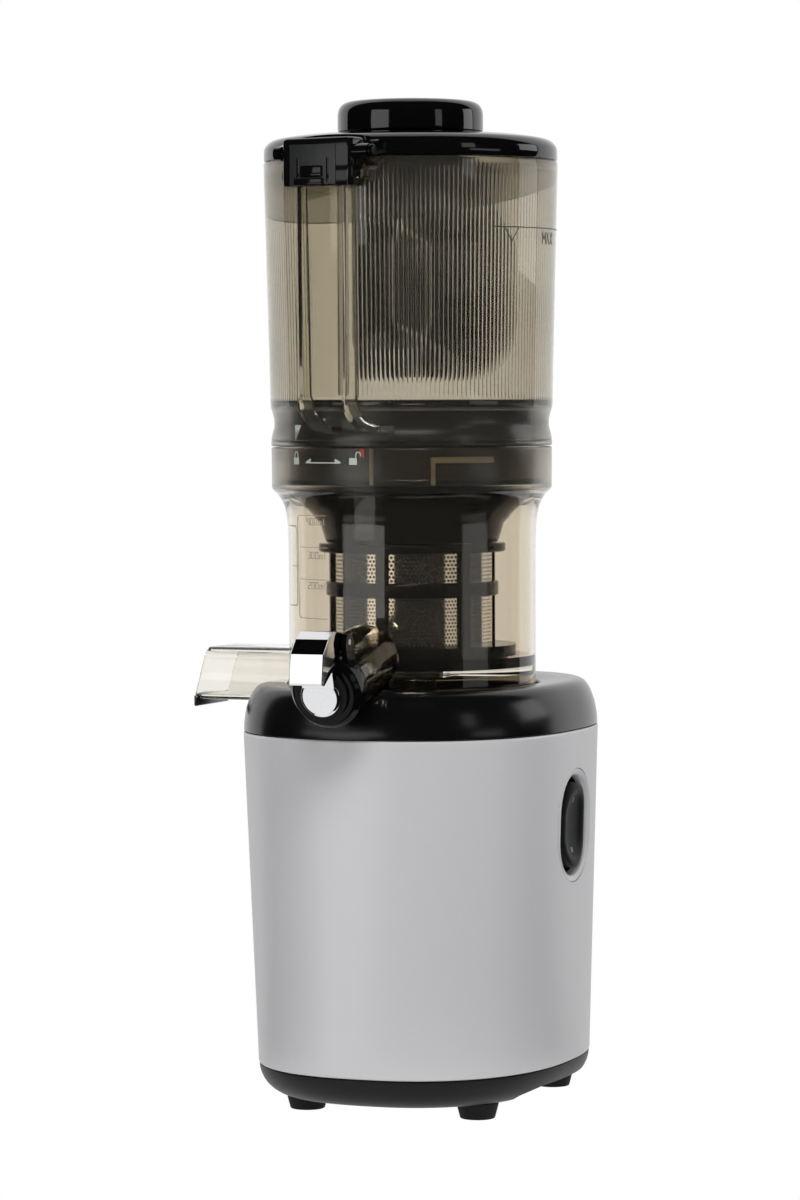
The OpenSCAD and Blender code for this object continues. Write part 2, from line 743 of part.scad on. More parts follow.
// Gearbox
plate_t = 4;
gearbox_z = motor_top_z + bearing_h - bracket_floor + gap;
pinion_z = gearbox_z + plate_t + stack_gap;
wheel_2_z = pinion_z + face_1 + stack_gap;
plate_z = wheel_2_z + face_2 + stack_gap;
case_wall = 3;
wheel_1_r = wheel_1_teeth * mod_1 / 2 + mod_1;
wheel_2_r = wheel_2_teeth * mod_2 / 2 + mod_2;
case_gap = 2;
intermediate_r = 4;
module case_outline(grow) {
    circle(r = wheel_2_r + case_gap + grow);
    translate([0, stage_2_reach]) circle(r = wheel_1_r + case_gap + grow);
    translate([-wheel_1_r - case_gap - grow, 0]) square([2 * (wheel_1_r + case_gap + grow), stage_2_reach]);
}
lug_front = -8;
lug_back_share = 0.3;
lug_off = case_gap + case_wall + screw_head_r - edge;
case_screw_places = [for (x = [-1, 1]) each [[x * (wheel_2_r + lug_off), lug_front],
    [x * (wheel_1_r + lug_off), stage_2_reach + wheel_1_r * lug_back_share]]];
case_h = plate_z - gearbox_z;
module case_lugs(z, h, r) { for (p = case_screw_places) translate([p[0], p[1], 0]) rod(r, z, h); }
lug_r = screw_head_r + edge;
screw_bite = 2;
module gearbox_case() {
    color([0.3, 0.31, 0.33]) placed() difference() {
        union() {
            translate([0, 0, gearbox_z]) linear_extrude(case_h) case_outline(case_wall);
            case_lugs(gearbox_z, case_h, lug_r);
        }
        translate([0, 0, gearbox_z + plate_t]) linear_extrude(case_h) case_outline(0);
        case_lugs(gearbox_z + plate_t, case_h, screw_r);
        at_motor() rod(bearing_r + shaft_room, gearbox_z - over, plate_t + 2 * over);
        at_intermediate() rod(intermediate_r, gearbox_z - over, plate_t + 2 * over);
        rod(output_r + pin_fit, gearbox_z - over, plate_t + 2 * over);
    }
}
output_bearing_r = 14;
output_bearing_h = 9;
column_r = 5;
column_reach = wheel_2_r - column_r;
module gearbox_plate() {
    color([0.36, 0.37, 0.39]) placed() difference() {
        union() {
            translate([0, 0, plate_z]) linear_extrude(plate_t) case_outline(case_wall);
            case_lugs(plate_z, plate_t, lug_r);
            rod(output_bearing_r + case_wall, plate_z, output_bearing_h + edge);
            for (a = [0 : 120 : 240]) rotate([0, 0, a]) translate([column_reach, 0, 0])
                rod(column_r, plate_z, well_z - cover_wall - plate_z);
        }
        rod(output_bearing_r, plate_z + edge, output_bearing_h + over);
        rod(output_r + shaft_room, plate_z - over, plate_t + 2 * over);
        case_lugs(plate_z - over, plate_t + 2 * over, screw_r);
        at_intermediate() rod(intermediate_r, plate_z - over, plate_t + 2 * over);
    }
}
module gearbox_screws() {
    color([0.7, 0.7, 0.72]) placed() {
        case_lugs(gearbox_z + plate_t + screw_bite, case_h - screw_bite, screw_r);
        case_lugs(plate_z + plate_t, screw_head_h, screw_head_r);
    }
}
module intermediate_pin() {
    color([0.75, 0.75, 0.78]) placed() at_intermediate()
        rod(intermediate_r, gearbox_z, plate_z + plate_t - gearbox_z);
}
gear_boss_r = 7;
wheel_1_turn = 180 / wheel_1_teeth;
wheel_2_turn = 90;
module intermediate_gear() {
    color([0.85, 0.84, 0.78]) placed() at_intermediate() difference() {
        union() {
            translate([0, 0, pinion_z]) rotate([0, 0, -90 - motor_turn + wheel_1_turn])
                linear_extrude(face_1)
                gear_outline(wheel_1_teeth, mod_1);
            translate([0, 0, pinion_z + face_1 - sink]) rotate([0, 0, -90])
                linear_extrude(face_2 + stack_gap + sink) gear_outline(pinion_2_teeth, mod_2);
            rod(gear_boss_r, gearbox_z + plate_t + gap, stack_gap);
        }
        rod(intermediate_r + pin_fit, gearbox_z, case_h);
    }
}
module motor_pinion() {
    color([0.7, 0.7, 0.73]) placed() at_motor() difference() {
        translate([0, 0, pinion_z]) rotate([0, 0, 90 - motor_turn]) linear_extrude(face_1)
            gear_outline(pinion_1_teeth, mod_1);
        rod(motor_shaft_r, pinion_z - over, face_1 + 2 * over);
    }
}
web_t = 5;
gear_rim = 5;
gear_hub_r = 15;
module output_gear() {
    color([0.85, 0.84, 0.78]) placed() difference() {
        translate([0, 0, wheel_2_z]) rotate([0, 0, wheel_2_turn + 180 / wheel_2_teeth])
            linear_extrude(face_2)
            gear_outline(wheel_2_teeth, mod_2);
        rod(output_r, wheel_2_z - over, face_2 + 2 * over);
        tube(wheel_2_r - gear_rim, gear_hub_r, wheel_2_z + web_t, face_2);
    }
}
hex_z = well_z + seal_h + edge;
hex_rise = 20;
hex_top_z = floor_z + hex_rise;
module output_shaft() {
    color([0.78, 0.78, 0.8]) placed() {
        rod(output_r, gearbox_z + edge, hex_z + sink - gearbox_z - edge);
        translate([0, 0, hex_z]) cylinder(r = hex_r, h = hex_top_z - hex_z, $fn = hex_sides);
    }
}
module output_bearing() {
    color([0.75, 0.76, 0.78]) placed()
        tube(output_bearing_r, output_r + pin_fit, plate_z + edge, output_bearing_h);
}

// Control board on the rear wall
board_w = 70;
board_h = 90;
board_t = 1.6;
board_rise = 50;
board_z = body_z + board_rise;
part_t = 12;
part_place_shares = [0.3, 0.2];
part_size_shares = [0.35, 0.3];
board_y = body_low_back + body_low_half_d - body_wall - part_t;
module control_board() {
    color([0.1, 0.35, 0.2]) placed() translate([-board_w / 2, board_y, board_z]) {
        cube([board_w, board_t, board_h]);
        translate([board_w * part_place_shares[0], -part_t + sink, board_h * part_place_shares[1]])
            cube([board_w * part_size_shares[0], part_t, board_h * part_size_shares[1]]);
    }
}
board_post_r = 3.5;
board_post_shares = [-0.8, 0.8];

// Juicing bowl
bowl_in_r = bowl_r - bowl_wall;
lock_wall = 1.7;
lock_in_r = lock_r - lock_wall;
hub_r = 16;
hub_bore_r = 13;
shelf_rise = 2.2;
shelf_z = lock_z + shelf_rise;
rib_h = 3.5;
rib_depth = 2.4;
rib_drop = 8;
rib_z = lock_top_z - rib_drop;
rib_angle = 26;
lug_angle = 14;
collar_room = 2.9;
collar_out_r = lock_in_r - collar_room;
duct_inset = 3;
duct_half_w = chute_half_w - duct_inset;
port_r = 8;
port_inset = 14.8;
port_x = strainer_r - port_inset;
bowl_flare_shares = [[0, 0.78], [0.08, 0.88], [0.27, 0.93], [0.61, 0.973]];
bowl_inner_shares = [[0.2, 0.96], [0, 0.87]];
shelf_share = 0.45;
module bowl_profile() {
    polygon([
        [hub_bore_r, floor_z - bowl_floor], [bowl_in_r, floor_z - bowl_floor], [bowl_in_r, bowl_z],
            [bowl_r, bowl_z],
        for (p = bowl_flare_shares) [bowl_r + lock_flare * p[0], bowl_z + bowl_h * p[1]],
        [lock_r - edge / 2, lock_z], [lock_r, lock_z + edge], [lock_r, lock_top_z], [lock_in_r, lock_top_z],
        [lock_in_r, shelf_z], [bowl_in_r + lock_flare * shelf_share, shelf_z],
        for (p = bowl_inner_shares) [bowl_in_r + lock_flare * p[0], bowl_z + bowl_h * p[1]],
        [bowl_in_r, floor_z], [hub_r, floor_z], [hub_r, floor_z + edge], [hub_bore_r, floor_z + edge]]);
}
module along_spout() { translate([0, -bowl_r, spout_z]) rotate([90 + spout_fall, 0, 0]) children(); }
spout_in = 15;
spout_front = 2.4;
tube_end = spout_len - spout_front - gap;
module bowl() {
    color([0.6, 0.57, 0.52, 0.45]) placed() {
        difference() {
            union() {
                difference() {
                    union() {
                        rotate_extrude() bowl_profile();
                        along_spout() translate([0, 0, -spout_in])
                            cylinder(r = spout_r, h = spout_in + tube_end);
                        intersection() {
                            translate([-bowl_r, -duct_half_w - chute_wall, chute_z])
                                cube([bowl_r - port_x + port_r + chute_wall, 2 * (duct_half_w + chute_wall),
                                    floor_z - bowl_floor - chute_z + sink]);
                            rod(bowl_r, bowl_z, bowl_h);
                        }
                    }
                    rod(bowl_in_r, floor_z, lock_z - floor_z - 2 * bowl_wall - lock_h / 2);
                    translate([-2 * bowl_r, -duct_half_w, chute_z + chute_wall])
                        cube([2 * bowl_r - port_x + port_r, 2 * duct_half_w,
                            floor_z - bowl_floor - chute_z - chute_wall]);
                }
                rotate_extrude() polygon([[hub_bore_r, floor_z - sink], [hub_r, floor_z - sink],
                    [hub_r, floor_z + edge], [hub_bore_r, floor_z + edge]]);
            }
            along_spout() translate([0, 0, -spout_in + spout_wall])
                cylinder(r = spout_r - spout_wall, h = spout_len + spout_in);
            translate([-port_x, 0, 0]) rod(port_r, floor_z - 2 * bowl_floor, 4 * bowl_floor);
        }
        for (a = [0 : 120 : 240]) rotate([0, 0, a + lock_turn])
            ring_arc(lock_in_r - rib_depth, lock_in_r + sink, rib_z, rib_h, rib_angle);
    }
}
lock_turn = 35;
module bowl_seal() {
    color([0.75, 0.75, 0.72]) placed()
        tube(hub_bore_r, auger_hub_r + gap, floor_z - bowl_floor, bowl_floor + edge);
}

// Pulp chute, a clear duct with a slanted end and a drip lip
lip_t = 2;
chute_low_r = chute_reach - edge;
module chute_side(x_in, grow) {
    rotate([90, 0, 0]) linear_extrude(2 * (chute_half_w + grow), center = true) polygon([
        [-x_in, chute_z - grow], [-x_in, chute_z + chute_h + grow],
        [-chute_low_r + chute_slant, chute_z + chute_h + grow], [-chute_low_r, chute_z - grow]]);
}
module pulp_chute() {
    color([0.85, 0.83, 0.8, 0.4]) placed() difference() {
        union() {
            difference() {
                chute_side(bowl_r / 2, 0);
                rod(bowl_r + tongue_fit, bowl_z - over, bowl_h);
            }
            translate([-chute_reach, -chute_half_w, chute_z - lip_h])
                cube([lip_t, 2 * chute_half_w, lip_h + chute_wall]);
        }
        translate([-2 * chute_reach, -chute_half_w + chute_wall, chute_z + chute_wall])
            cube([2 * chute_reach, 2 * (chute_half_w - chute_wall), chute_h - 2 * chute_wall]);
    }
}
pulp_seal_t = 2;
module pulp_seal() {
    color([0.8, 0.8, 0.78]) placed() translate([-port_x, 0, 0])
        tube(port_r, port_r - pulp_seal_t, floor_z - bowl_floor, bowl_floor + strainer_lift);
}

// Spout collar, chrome cap and its pin
ear_w = 2.8;
ear_gap = 0.4;
pin_back_share = 0.47;
pin_s = lever_s - lever_len * pin_back_share;
cap_pin_r = 1.4;
ear_r = 4.6;
arm_r = 3.8;
pin_n = collar_r + arm_r + 3 * gap;
mouth_r = 11;
module collar_ears() {
    for (x = [-1, 1]) translate([x * (lever_w / 2 + ear_gap + ear_w / 2), 0, 0]) rotate([0, 90, 0]) {
        translate([-pin_s, pin_n, 0]) cylinder(r = ear_r, h = ear_w, center = true);
        translate([-pin_s - ear_r, mouth_r, -ear_w / 2]) cube([2 * ear_r, pin_n - mouth_r, ear_w]);
    }
}
collar_round = 2.2;
module spout_collar() {
    color([0.06, 0.06, 0.06]) placed() along_spout() difference() {
        union() {
            rotate_extrude() intersection() {
                translate([0, spout_len - collar_len / 2])
                    rounded_rect(2 * collar_r, collar_len, collar_round);
                translate([0, spout_len - 2 * collar_len]) square([2 * collar_r, 3 * collar_len]);
            }
            collar_ears();
        }
        translate([0, 0, spout_len - collar_len - over])
            cylinder(r = spout_r + tongue_fit, h = collar_len + over - spout_front);
        translate([0, 0, spout_len - collar_len]) cylinder(r = mouth_r, h = 2 * collar_len);
        rotate([0, 90, 0]) translate([-pin_s, pin_n, 0])
            cylinder(r = cap_pin_r, h = 2 * lever_w, center = true);
    }
}
cap_seal_t = 2;
cap_disc_t = 3;
seal_s = spout_len + gap;
disc_s = seal_s + cap_seal_t;
lever_outline_shares = [[0, 1], [0.663, 0.858], [1, 0.057], [0.846, 0], [0.33, 0.16], [0.33, -0.25],
    [0.14, -0.25], [0.14, 0.425], [-0.47, 0.425], [-0.47, 0.78]];
module spout_cap() {
    color([0.85, 0.86, 0.88]) placed() along_spout() difference() {
        union() {
            translate([0, 0, disc_s]) cylinder(r = disc_r, h = cap_disc_t);
            rotate([0, 90, 0]) mirror([1, 0, 0]) linear_extrude(lever_w, center = true) polygon([
                for (p = lever_outline_shares) [lever_s + p[0] * lever_len, lever_n + p[1] * lever_h]]);
            rotate([0, 90, 0]) translate([-pin_s, pin_n, 0])
                cylinder(r = arm_r, h = lever_w, center = true);
        }
        rotate([0, 90, 0]) translate([-pin_s, pin_n, 0])
            cylinder(r = cap_pin_r + pin_fit, h = 2 * lever_w, center = true);
    }
}
module spout_cap_seal() {
    color([0.1, 0.1, 0.1]) placed() along_spout() translate([0, 0, seal_s])
        cylinder(r = mouth_r + edge, h = cap_seal_t);
}
module spout_cap_pin() {
    color([0.7, 0.7, 0.72]) placed() along_spout() rotate([0, 90, 0]) translate([-pin_s, pin_n, 0])
        cylinder(r = cap_pin_r, h = lever_w + 2 * (ear_w + ear_gap), center = true);
}

// Strainer: black cage around a steel sieve
strainer_lift = 3.2;
strainer_z = floor_z + strainer_lift;
bar_t = 1.6;
strainer_in_r = strainer_r - bar_t;
strainer_floor = 2.4;
flange_z = strainer_z + strainer_floor;
flange_h = 5.4;
ring_1_h = 4.4;
ring_2_h = 7;
ring_2_share = 0.55;
ring_2_z = strainer_z + strainer_h * ring_2_share;
foot_step = 4;
foot_ring_t = 3;
sieve_drop = 2;
strainer_top_z = strainer_z + strainer_h;
module strainer_frame() {
    color([0.06, 0.06, 0.06]) placed() difference() {
        union() {
            soft_ring(strainer_in_r, ring_1_r, strainer_top_z - ring_1_h, ring_1_h, edge);
            soft_ring(strainer_in_r, ring_2_r, ring_2_z, ring_2_h, edge);
            tube(flange_r, strainer_in_r, flange_z, flange_h);
            tube(flange_r - foot_step, hub_r + gap, strainer_z, strainer_floor + sink);
            tube(flange_r - foot_step, flange_r - foot_step - foot_ring_t, floor_z, strainer_lift + sink);
            intersection() {
                tube(strainer_r, strainer_in_r, flange_z, strainer_top_z - flange_z - edge);
                for (i = [0 : bar_count - 1]) rotate([0, 0, i * 360 / bar_count - 90])
                    translate([0, -bar_w / 2, strainer_z]) cube([strainer_r, bar_w, strainer_h]);
            }
        }
        translate([-port_x, 0, 0]) rod(port_r, floor_z, 2 * flange_h);
    }
}
module strainer_sieve() {
    color([0.75, 0.76, 0.78]) placed()
        tube(strainer_in_r, strainer_in_r - sieve_t, flange_z + sink, strainer_top_z - flange_z - sieve_drop);
}

// Auger with a six-sided socket and two flights
auger_hub_r = 11.6;
auger_z = flange_z + sink + gap;
hub_drop = 10;
hub_foot_z = floor_z - hub_drop;
flight_t = 5;
flight_z = auger_z + edge;
socket_r = hex_r + slide_fit;
auger_top_z = auger_z + auger_h;
shoulder_share = 0.62;
shoulder_z = auger_z + auger_h * shoulder_share;
flight_slices = 44;
flight_sides = 12;
wing_share = 1.7;
wing_scale = 0.5;
tip_share = 0.33;
tip_drop = 2;
socket_room = 2;
module auger() {
    color([0.13, 0.13, 0.14]) placed() difference() {
        union() {
            rod(auger_hub_r, hub_foot_z, auger_z - hub_foot_z + sink);
            translate([0, 0, auger_z]) cylinder(r1 = core_r, r2 = core_top_r, h = shoulder_z - auger_z);
            translate([0, 0, shoulder_z - sink])
                cylinder(r1 = core_top_r, r2 = core_top_r * tip_share, h = auger_top_z - shoulder_z);
            translate([0, 0, flight_z]) linear_extrude(shoulder_z - flight_z, twist = -360 * auger_turns,
                slices = flight_slices, $fn = flight_sides) square([2 * auger_r, flight_t], center = true);
            translate([0, 0, shoulder_z - edge]) rotate([0, 0, 360 * auger_turns])
                linear_extrude(auger_top_z - shoulder_z - tip_drop, twist = -180, slices = flight_slices / 2,
                    scale = wing_scale, $fn = flight_sides) square([wing_share * auger_r, flight_t],
                        center = true);
        }
        translate([0, 0, hub_foot_z - over])
            cylinder(r = socket_r, h = hex_top_z + socket_room - hub_foot_z, $fn = hex_sides);
    }
}

// Clear hopper with its waist and bayonet lugs
hopper_low_z = hopper_z + waist_h;
hopper_seal_t = 2.6;
collar_low_z = shelf_z + hopper_seal_t + gap;
collar_t = 2.5;
collar_in_r = collar_out_r - collar_t;
waist_r = hopper_low_r - waist_dip;
seat_in_r = waist_r - hopper_wall;
seat_rise = 3;
seat_z = hopper_z + seat_rise;
waist_shares = [[0.35, 0.27], [1, 0.5], [0.74, 0.74]];
lug_h = 4;
lug_z = rib_z - lug_h - gap;
module hopper() {
    color([0.5, 0.48, 0.44, 0.45]) placed() {
        rotate_extrude() polygon([
            [collar_in_r, collar_low_z], [collar_out_r, collar_low_z], [collar_out_r, hopper_z],
            [hopper_low_r - sink, hopper_z],
            for (p = waist_shares) [hopper_low_r - waist_dip * p[0], hopper_z + waist_h * p[1]],
            [hopper_low_r, hopper_low_z], [hopper_r, hopper_top_z], [hopper_r - hopper_wall, hopper_top_z],
            [hopper_low_r - hopper_wall, hopper_low_z], [seat_in_r, hopper_low_z - edge],
            [seat_in_r, seat_z], [collar_in_r, seat_z - edge]]);
        for (a = [0 : 120 : 240]) rotate([0, 0, a + lock_turn])
            ring_arc(collar_out_r - edge, lock_in_r - gap, lug_z, lug_h, lug_angle);
        at_hinge() intersection() {
            for (x = [-1, 1])
                translate([x * (block_half_w + gap + ear_len / 2) - ear_len / 2, -hopper_r - ear_out, ear_z])
                    cube([ear_len, hopper_r / 2, ear_h]);
            tube(2 * hopper_r, hopper_r - hopper_wall / 2, ear_z - over, ear_h + 2 * over);
        }
    }
}
ear_len = 9;
ear_out = 3;
ear_drop = 12;
ear_z = lid_z - ear_drop;
ear_h = 5.4;
module hopper_seal() {
    color([0.8, 0.8, 0.78]) placed()
        tube(collar_out_r, collar_in_r, shelf_z + gap, collar_low_z - shelf_z - gap);
}

// Black funnel from the hopper down into the strainer
funnel_low_z = strainer_top_z + gap;
funnel_top_z = hopper_low_z;
funnel_h = funnel_top_z - funnel_low_z;
funnel_step = 2;
funnel_seat_r = seat_in_r - sink;
funnel_collar_r = collar_in_r - sink;
funnel_wall = 2.3;
funnel_spread = funnel_collar_r - funnel_low_r;
funnel_outer_shares = [[0, 0], [0.076, 0.055], [0.421, 0.26], [0.609, 0.345], [0.736, 0.38]];
funnel_inner_shares = [[0.609, 0.38], [0.421, 0.29], [0.076, 0.055], [0, 0]];
module feed_funnel() {
    color([0.05, 0.05, 0.05]) placed() rotate_extrude() polygon([
        for (p = funnel_outer_shares) [funnel_low_r + funnel_spread * p[0], funnel_low_z + funnel_h * p[1]],
        [funnel_collar_r, shelf_z + funnel_step + bowl_wall],
        [funnel_collar_r, seat_z - edge], [funnel_seat_r, seat_z + sink],
        [funnel_seat_r, funnel_top_z - funnel_step], [funnel_seat_r - edge, funnel_top_z - funnel_step],
        [funnel_collar_r - funnel_wall, seat_z - edge],
        [funnel_collar_r - funnel_wall, shelf_z + funnel_step + bowl_wall + edge],
        for (p = funnel_inner_shares)
            [funnel_low_r + funnel_spread * p[0] - funnel_wall, funnel_low_z + funnel_h * p[1]]]);
}

// Hinge frame: -Y points out through the hinge, +X along the pin
module at_hinge() { rotate([0, 0, -hinge_turn]) children(); }
pin_rise = 1.4;
block_rise = 7;
pin_z = lid_z + pin_rise;
block_top_z = pin_z + block_rise;
block_low_z = block_top_z - block_h;
block_face = 3.3;
block_out = hinge_reach + block_face;
channel_out = hinge_reach - edge;
plate_w = 2.4;
channel_rise = 3;
channel_low_z = hopper_low_z + channel_rise;
channel_top_z = pin_z - knuckle_r;
fin_r = 15;
fin_t = 3;
fin_out = channel_out - edge;
module channel_fin(x) {
    translate([x + fin_r, 0, channel_low_z + sink]) rotate([90, 0, 0]) intersection() {
        difference() {
            cylinder(r = fin_r + fin_t / 2, h = fin_out);
            translate([0, 0, -over]) cylinder(r = fin_r - fin_t / 2, h = fin_out + 2 * over);
        }
        translate([-2 * fin_r, -2 * fin_r, 0]) cube([2 * fin_r + fin_t, 2 * fin_r, fin_out]);
    }
}
module hopper_channel() {
    color([0.55, 0.53, 0.48, 0.45]) placed() at_hinge() difference() {
        union() {
            for (x = [-channel_half_w, channel_half_w - plate_w])
                translate([x, -channel_out, channel_low_z])
                    cube([plate_w, channel_out - hopper_low_r / 2, channel_top_z - channel_low_z]);
            translate([-channel_half_w, -channel_out, channel_low_z + edge])
                cube([2 * channel_half_w, plate_w, channel_top_z - channel_low_z - edge]);
            channel_fin(-channel_half_w + fin_t / 2);
            channel_fin(channel_half_w - fin_t / 2);
        }
        translate([0, 0, hopper_low_z])
            cylinder(r1 = hopper_low_r + sink, r2 = hopper_r + sink, h = hopper_top_z - hopper_low_z);
        rod(hopper_low_r + sink, hopper_z - 2 * waist_h, 3 * waist_h + edge / 4);
        rod(hopper_r + sink, hopper_top_z - edge / 4, 2 * lid_h);
        translate([-2 * fin_out, -2 * fin_out, 0]) cube([4 * fin_out, 4 * fin_out, hopper_z + edge]);
    }
}
tongue_half_w = 7;
slot_w = 1.4;
slot_h = 11;
pad_t = 0.9;
block_round = 3;
block_wall = 2.4;
pad_low_share = 0.42;
pad_h_share = 0.5;
lip_h_share = 0.31;
module block_outline(grow) {
    translate([0, -(block_out + hopper_r - edge) / 2])
        rounded_rect(2 * (block_half_w - grow), block_out - hopper_r + edge - 2 * grow, block_round);
}
module hinge_block() {
    color([0.05, 0.05, 0.05]) placed() at_hinge() difference() {
        union() {
            translate([0, 0, block_low_z]) linear_extrude(block_h) block_outline(0);
            translate([-tongue_half_w + 2 * slot_w, -block_out - pad_t, block_low_z + slot_h * pad_low_share])
                cube([2 * (tongue_half_w - 2 * slot_w), 2 * pad_t, slot_h * pad_h_share]);
            translate([-tongue_half_w - slot_w, -block_out - 2 * pad_t, block_low_z])
                cube([2 * tongue_half_w + slot_w, 3 * pad_t, slot_h * lip_h_share]);
        }
        translate([-channel_half_w - sink, -channel_out - sink, block_low_z - over])
            cube([2 * (channel_half_w + sink), block_out, block_h - block_wall + over + sink]);
        for (x = [-1, 1])
            translate([x * tongue_half_w - slot_w / 2, -block_out - 2 * block_wall, block_low_z - over])
                cube([slot_w, 3 * block_wall, slot_h + over]);
        translate([0, 0, hopper_low_z])
            cylinder(r1 = hopper_low_r + sink, r2 = hopper_r + sink, h = hopper_top_z - hopper_low_z);
        translate([0, -hinge_reach, pin_z]) rotate([0, 90, 0])
            cylinder(r = pin_r, h = 4 * block_half_w, center = true);
    }
}
knuckle_w = 8.6;
head_t = 2;
pin_head_r = 3.2;
module hinge_pin() {
    color([0.35, 0.35, 0.36]) placed() at_hinge() translate([0, -hinge_reach, pin_z]) rotate([0, 90, 0]) {
        cylinder(r = pin_r, h = 2 * (block_half_w + 2 * gap + knuckle_w), center = true);
        for (side = [-1, 1]) translate([0, 0, side * (block_half_w + 2 * gap + knuckle_w + head_t / 2)])
            cylinder(r = pin_head_r, h = head_t + sink, center = true);
    }
}
interlock_lift = 4;
rod_w = 3;
rod_x = channel_half_w - plate_w - gap - rod_w;
rod_foot = 2;
rod_room = 3;
rod_low_z = channel_low_z + rod_foot;
rod_top_z = block_top_z - block_wall - interlock_lift - rod_room;
module interlock_rod() {
    color([0.5, 0.5, 0.5, 0.8]) placed() at_hinge()
        translate([rod_x, -channel_out + plate_w + gap, rod_low_z])
        cube([rod_w, rod_w - edge / 2, rod_top_z - rod_low_z]);
}

// Lid with its skirt, the guide for the pusher and the two knuckles
lid_wall = 2.6;
guide_r = pusher_r + slide_fit;
guide_len = 14;
skirt_inset = 5.1;
skirt_r = lid_r - skirt_inset;
skirt_mid = (skirt_deep + skirt_shallow) / 2;
skirt_tilt = atan((skirt_deep - skirt_shallow) / (2 * skirt_r));
lid_round = 6;
knuckle_bite = 4;
lid_side_share = 1.6;
lid_middle_share = 1.55;
lid_edge_shares = [[1, 0.45], [3, 0]];
module lid_profile(inset) {
    intersection() {
        union() {
            polygon([[0, lid_z], [lid_r - inset, lid_z],
                [lid_r - inset, lid_top_z - lid_side_share * lid_round],
                for (p = lid_edge_shares) [lid_r - p[0] * lid_round, lid_top_z - p[1] * lid_round - inset],
                [0, lid_top_z - inset]]);
            intersection() {
                translate([lid_r - lid_round - inset, lid_top_z - lid_middle_share * lid_round - inset])
                    circle(r = lid_round);
                square([2 * lid_r, 2 * lid_top_z]);
            }
        }
        square([2 * lid_r, lid_top_z - inset]);
    }
}
module lid() {
    color([0.04, 0.04, 0.04]) placed() difference() {
        union() {
            difference() {
                rotate_extrude() lid_profile(0);
                rotate_extrude() translate([0, -edge]) lid_profile(lid_wall);
                rod(lid_r - lid_wall - sink, lid_z - over, 2 * over);
            }
            difference() {
                tube(skirt_r, skirt_r - lid_wall, lid_z - skirt_deep - over, skirt_deep + lid_h - lid_wall);
                at_hinge() translate([0, 0, lid_z - skirt_mid]) rotate([skirt_tilt, 0, 0])
                    translate([-2 * lid_r, -2 * lid_r, -2 * lid_r]) cube([4 * lid_r, 4 * lid_r, 2 * lid_r]);
            }
            tube(guide_r + lid_wall, guide_r, lid_z - guide_len, guide_len + lid_h - sink);
            at_hinge() for (side = [-1, 1]) translate([side * (block_half_w + gap + knuckle_w / 2), 0, 0]) {
                translate([0, -hinge_reach, pin_z]) rotate([0, 90, 0])
                    cylinder(r = knuckle_r, h = knuckle_w, center = true);
                translate([-knuckle_w / 2, -hinge_reach, lid_z])
                    cube([knuckle_w, hinge_reach - skirt_r + knuckle_bite, knuckle_r + pin_z - lid_z]);
            }
        }
        rod(guide_r, lid_z - 2 * guide_len, 2 * guide_len + 2 * lid_h);
        at_hinge() {
            translate([-block_half_w - gap, -2 * lid_r, lid_z - over])
                cube([2 * (block_half_w + gap), 2 * lid_r - skirt_r, 2 * lid_h]);
            translate([0, -hinge_reach, pin_z]) rotate([0, 90, 0])
                cylinder(r = pin_r + pin_fit, h = 4 * block_half_w, center = true);
        }
    }
}

// Pusher and its cap
pusher_wall = 2.2;
pusher_round = 20;
pusher_low_z = cap_z - pusher_len;
module pusher_outline(inset) {
    translate([0, pusher_low_z + pusher_round]) square([pusher_r - inset, pusher_len - pusher_round]);
    translate([0, pusher_low_z + inset]) square([pusher_r - pusher_round, pusher_round]);
    intersection() {
        translate([pusher_r - pusher_round, pusher_low_z + pusher_round]) circle(r = pusher_round - inset);
        translate([0, pusher_low_z]) square([pusher_r, pusher_len]);
    }
}
module pusher() {
    color([0.05, 0.05, 0.05]) placed() difference() {
        rotate_extrude() pusher_outline(0);
        rotate_extrude() translate([0, sink]) pusher_outline(pusher_wall);
        rod(pusher_r - pusher_wall, cap_z - over, 2 * over);
    }
}
module cap_outline(inset) {
    square([cap_r - inset, cap_h - cap_round]);
    square([cap_r - cap_round, cap_h - inset]);
    intersection() {
        translate([cap_r - cap_round, cap_h - cap_round]) circle(r = cap_round - inset);
        square([cap_r, cap_h]);
    }
}
module pusher_cap() {
    color([0.04, 0.04, 0.04]) placed() {
        translate([0, 0, cap_z]) difference() {
            rotate_extrude() cap_outline(0);
            rotate_extrude() translate([0, -edge]) cap_outline(pusher_wall);
        }
        tube(pusher_r, pusher_r - pusher_wall, cap_z, cap_h - pusher_wall);
    }
}

rubber_feet();
base_tray();
base_screws();
body_shell();
top_cover();
cord_gland();
switch_bezel();
switch_housing();
rocker_switch();
rocker_pin();
control_board();
motor_mounts();
motor_lower_bracket();
motor_upper_bracket();
motor_stator();
motor_windings();
motor_bearings();
motor_rotor();
motor_shaft();
cooling_fan();
motor_pinion();
gearbox_case();
gearbox_plate();
gearbox_screws();
intermediate_pin();
intermediate_gear();
output_gear();
output_shaft();
output_bearing();
shaft_seal();
bowl();
bowl_seal();
pulp_chute();
pulp_seal();
spout_collar();
spout_cap();
spout_cap_seal();
spout_cap_pin();
strainer_frame();
strainer_sieve();
auger();
hopper();
hopper_seal();
feed_funnel();
hopper_channel();
hinge_block();
hinge_pin();
interlock_rod();
lid();
pusher();
pusher_cap();
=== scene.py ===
import bpy, bmesh, math
from mathutils import Matrix, Vector


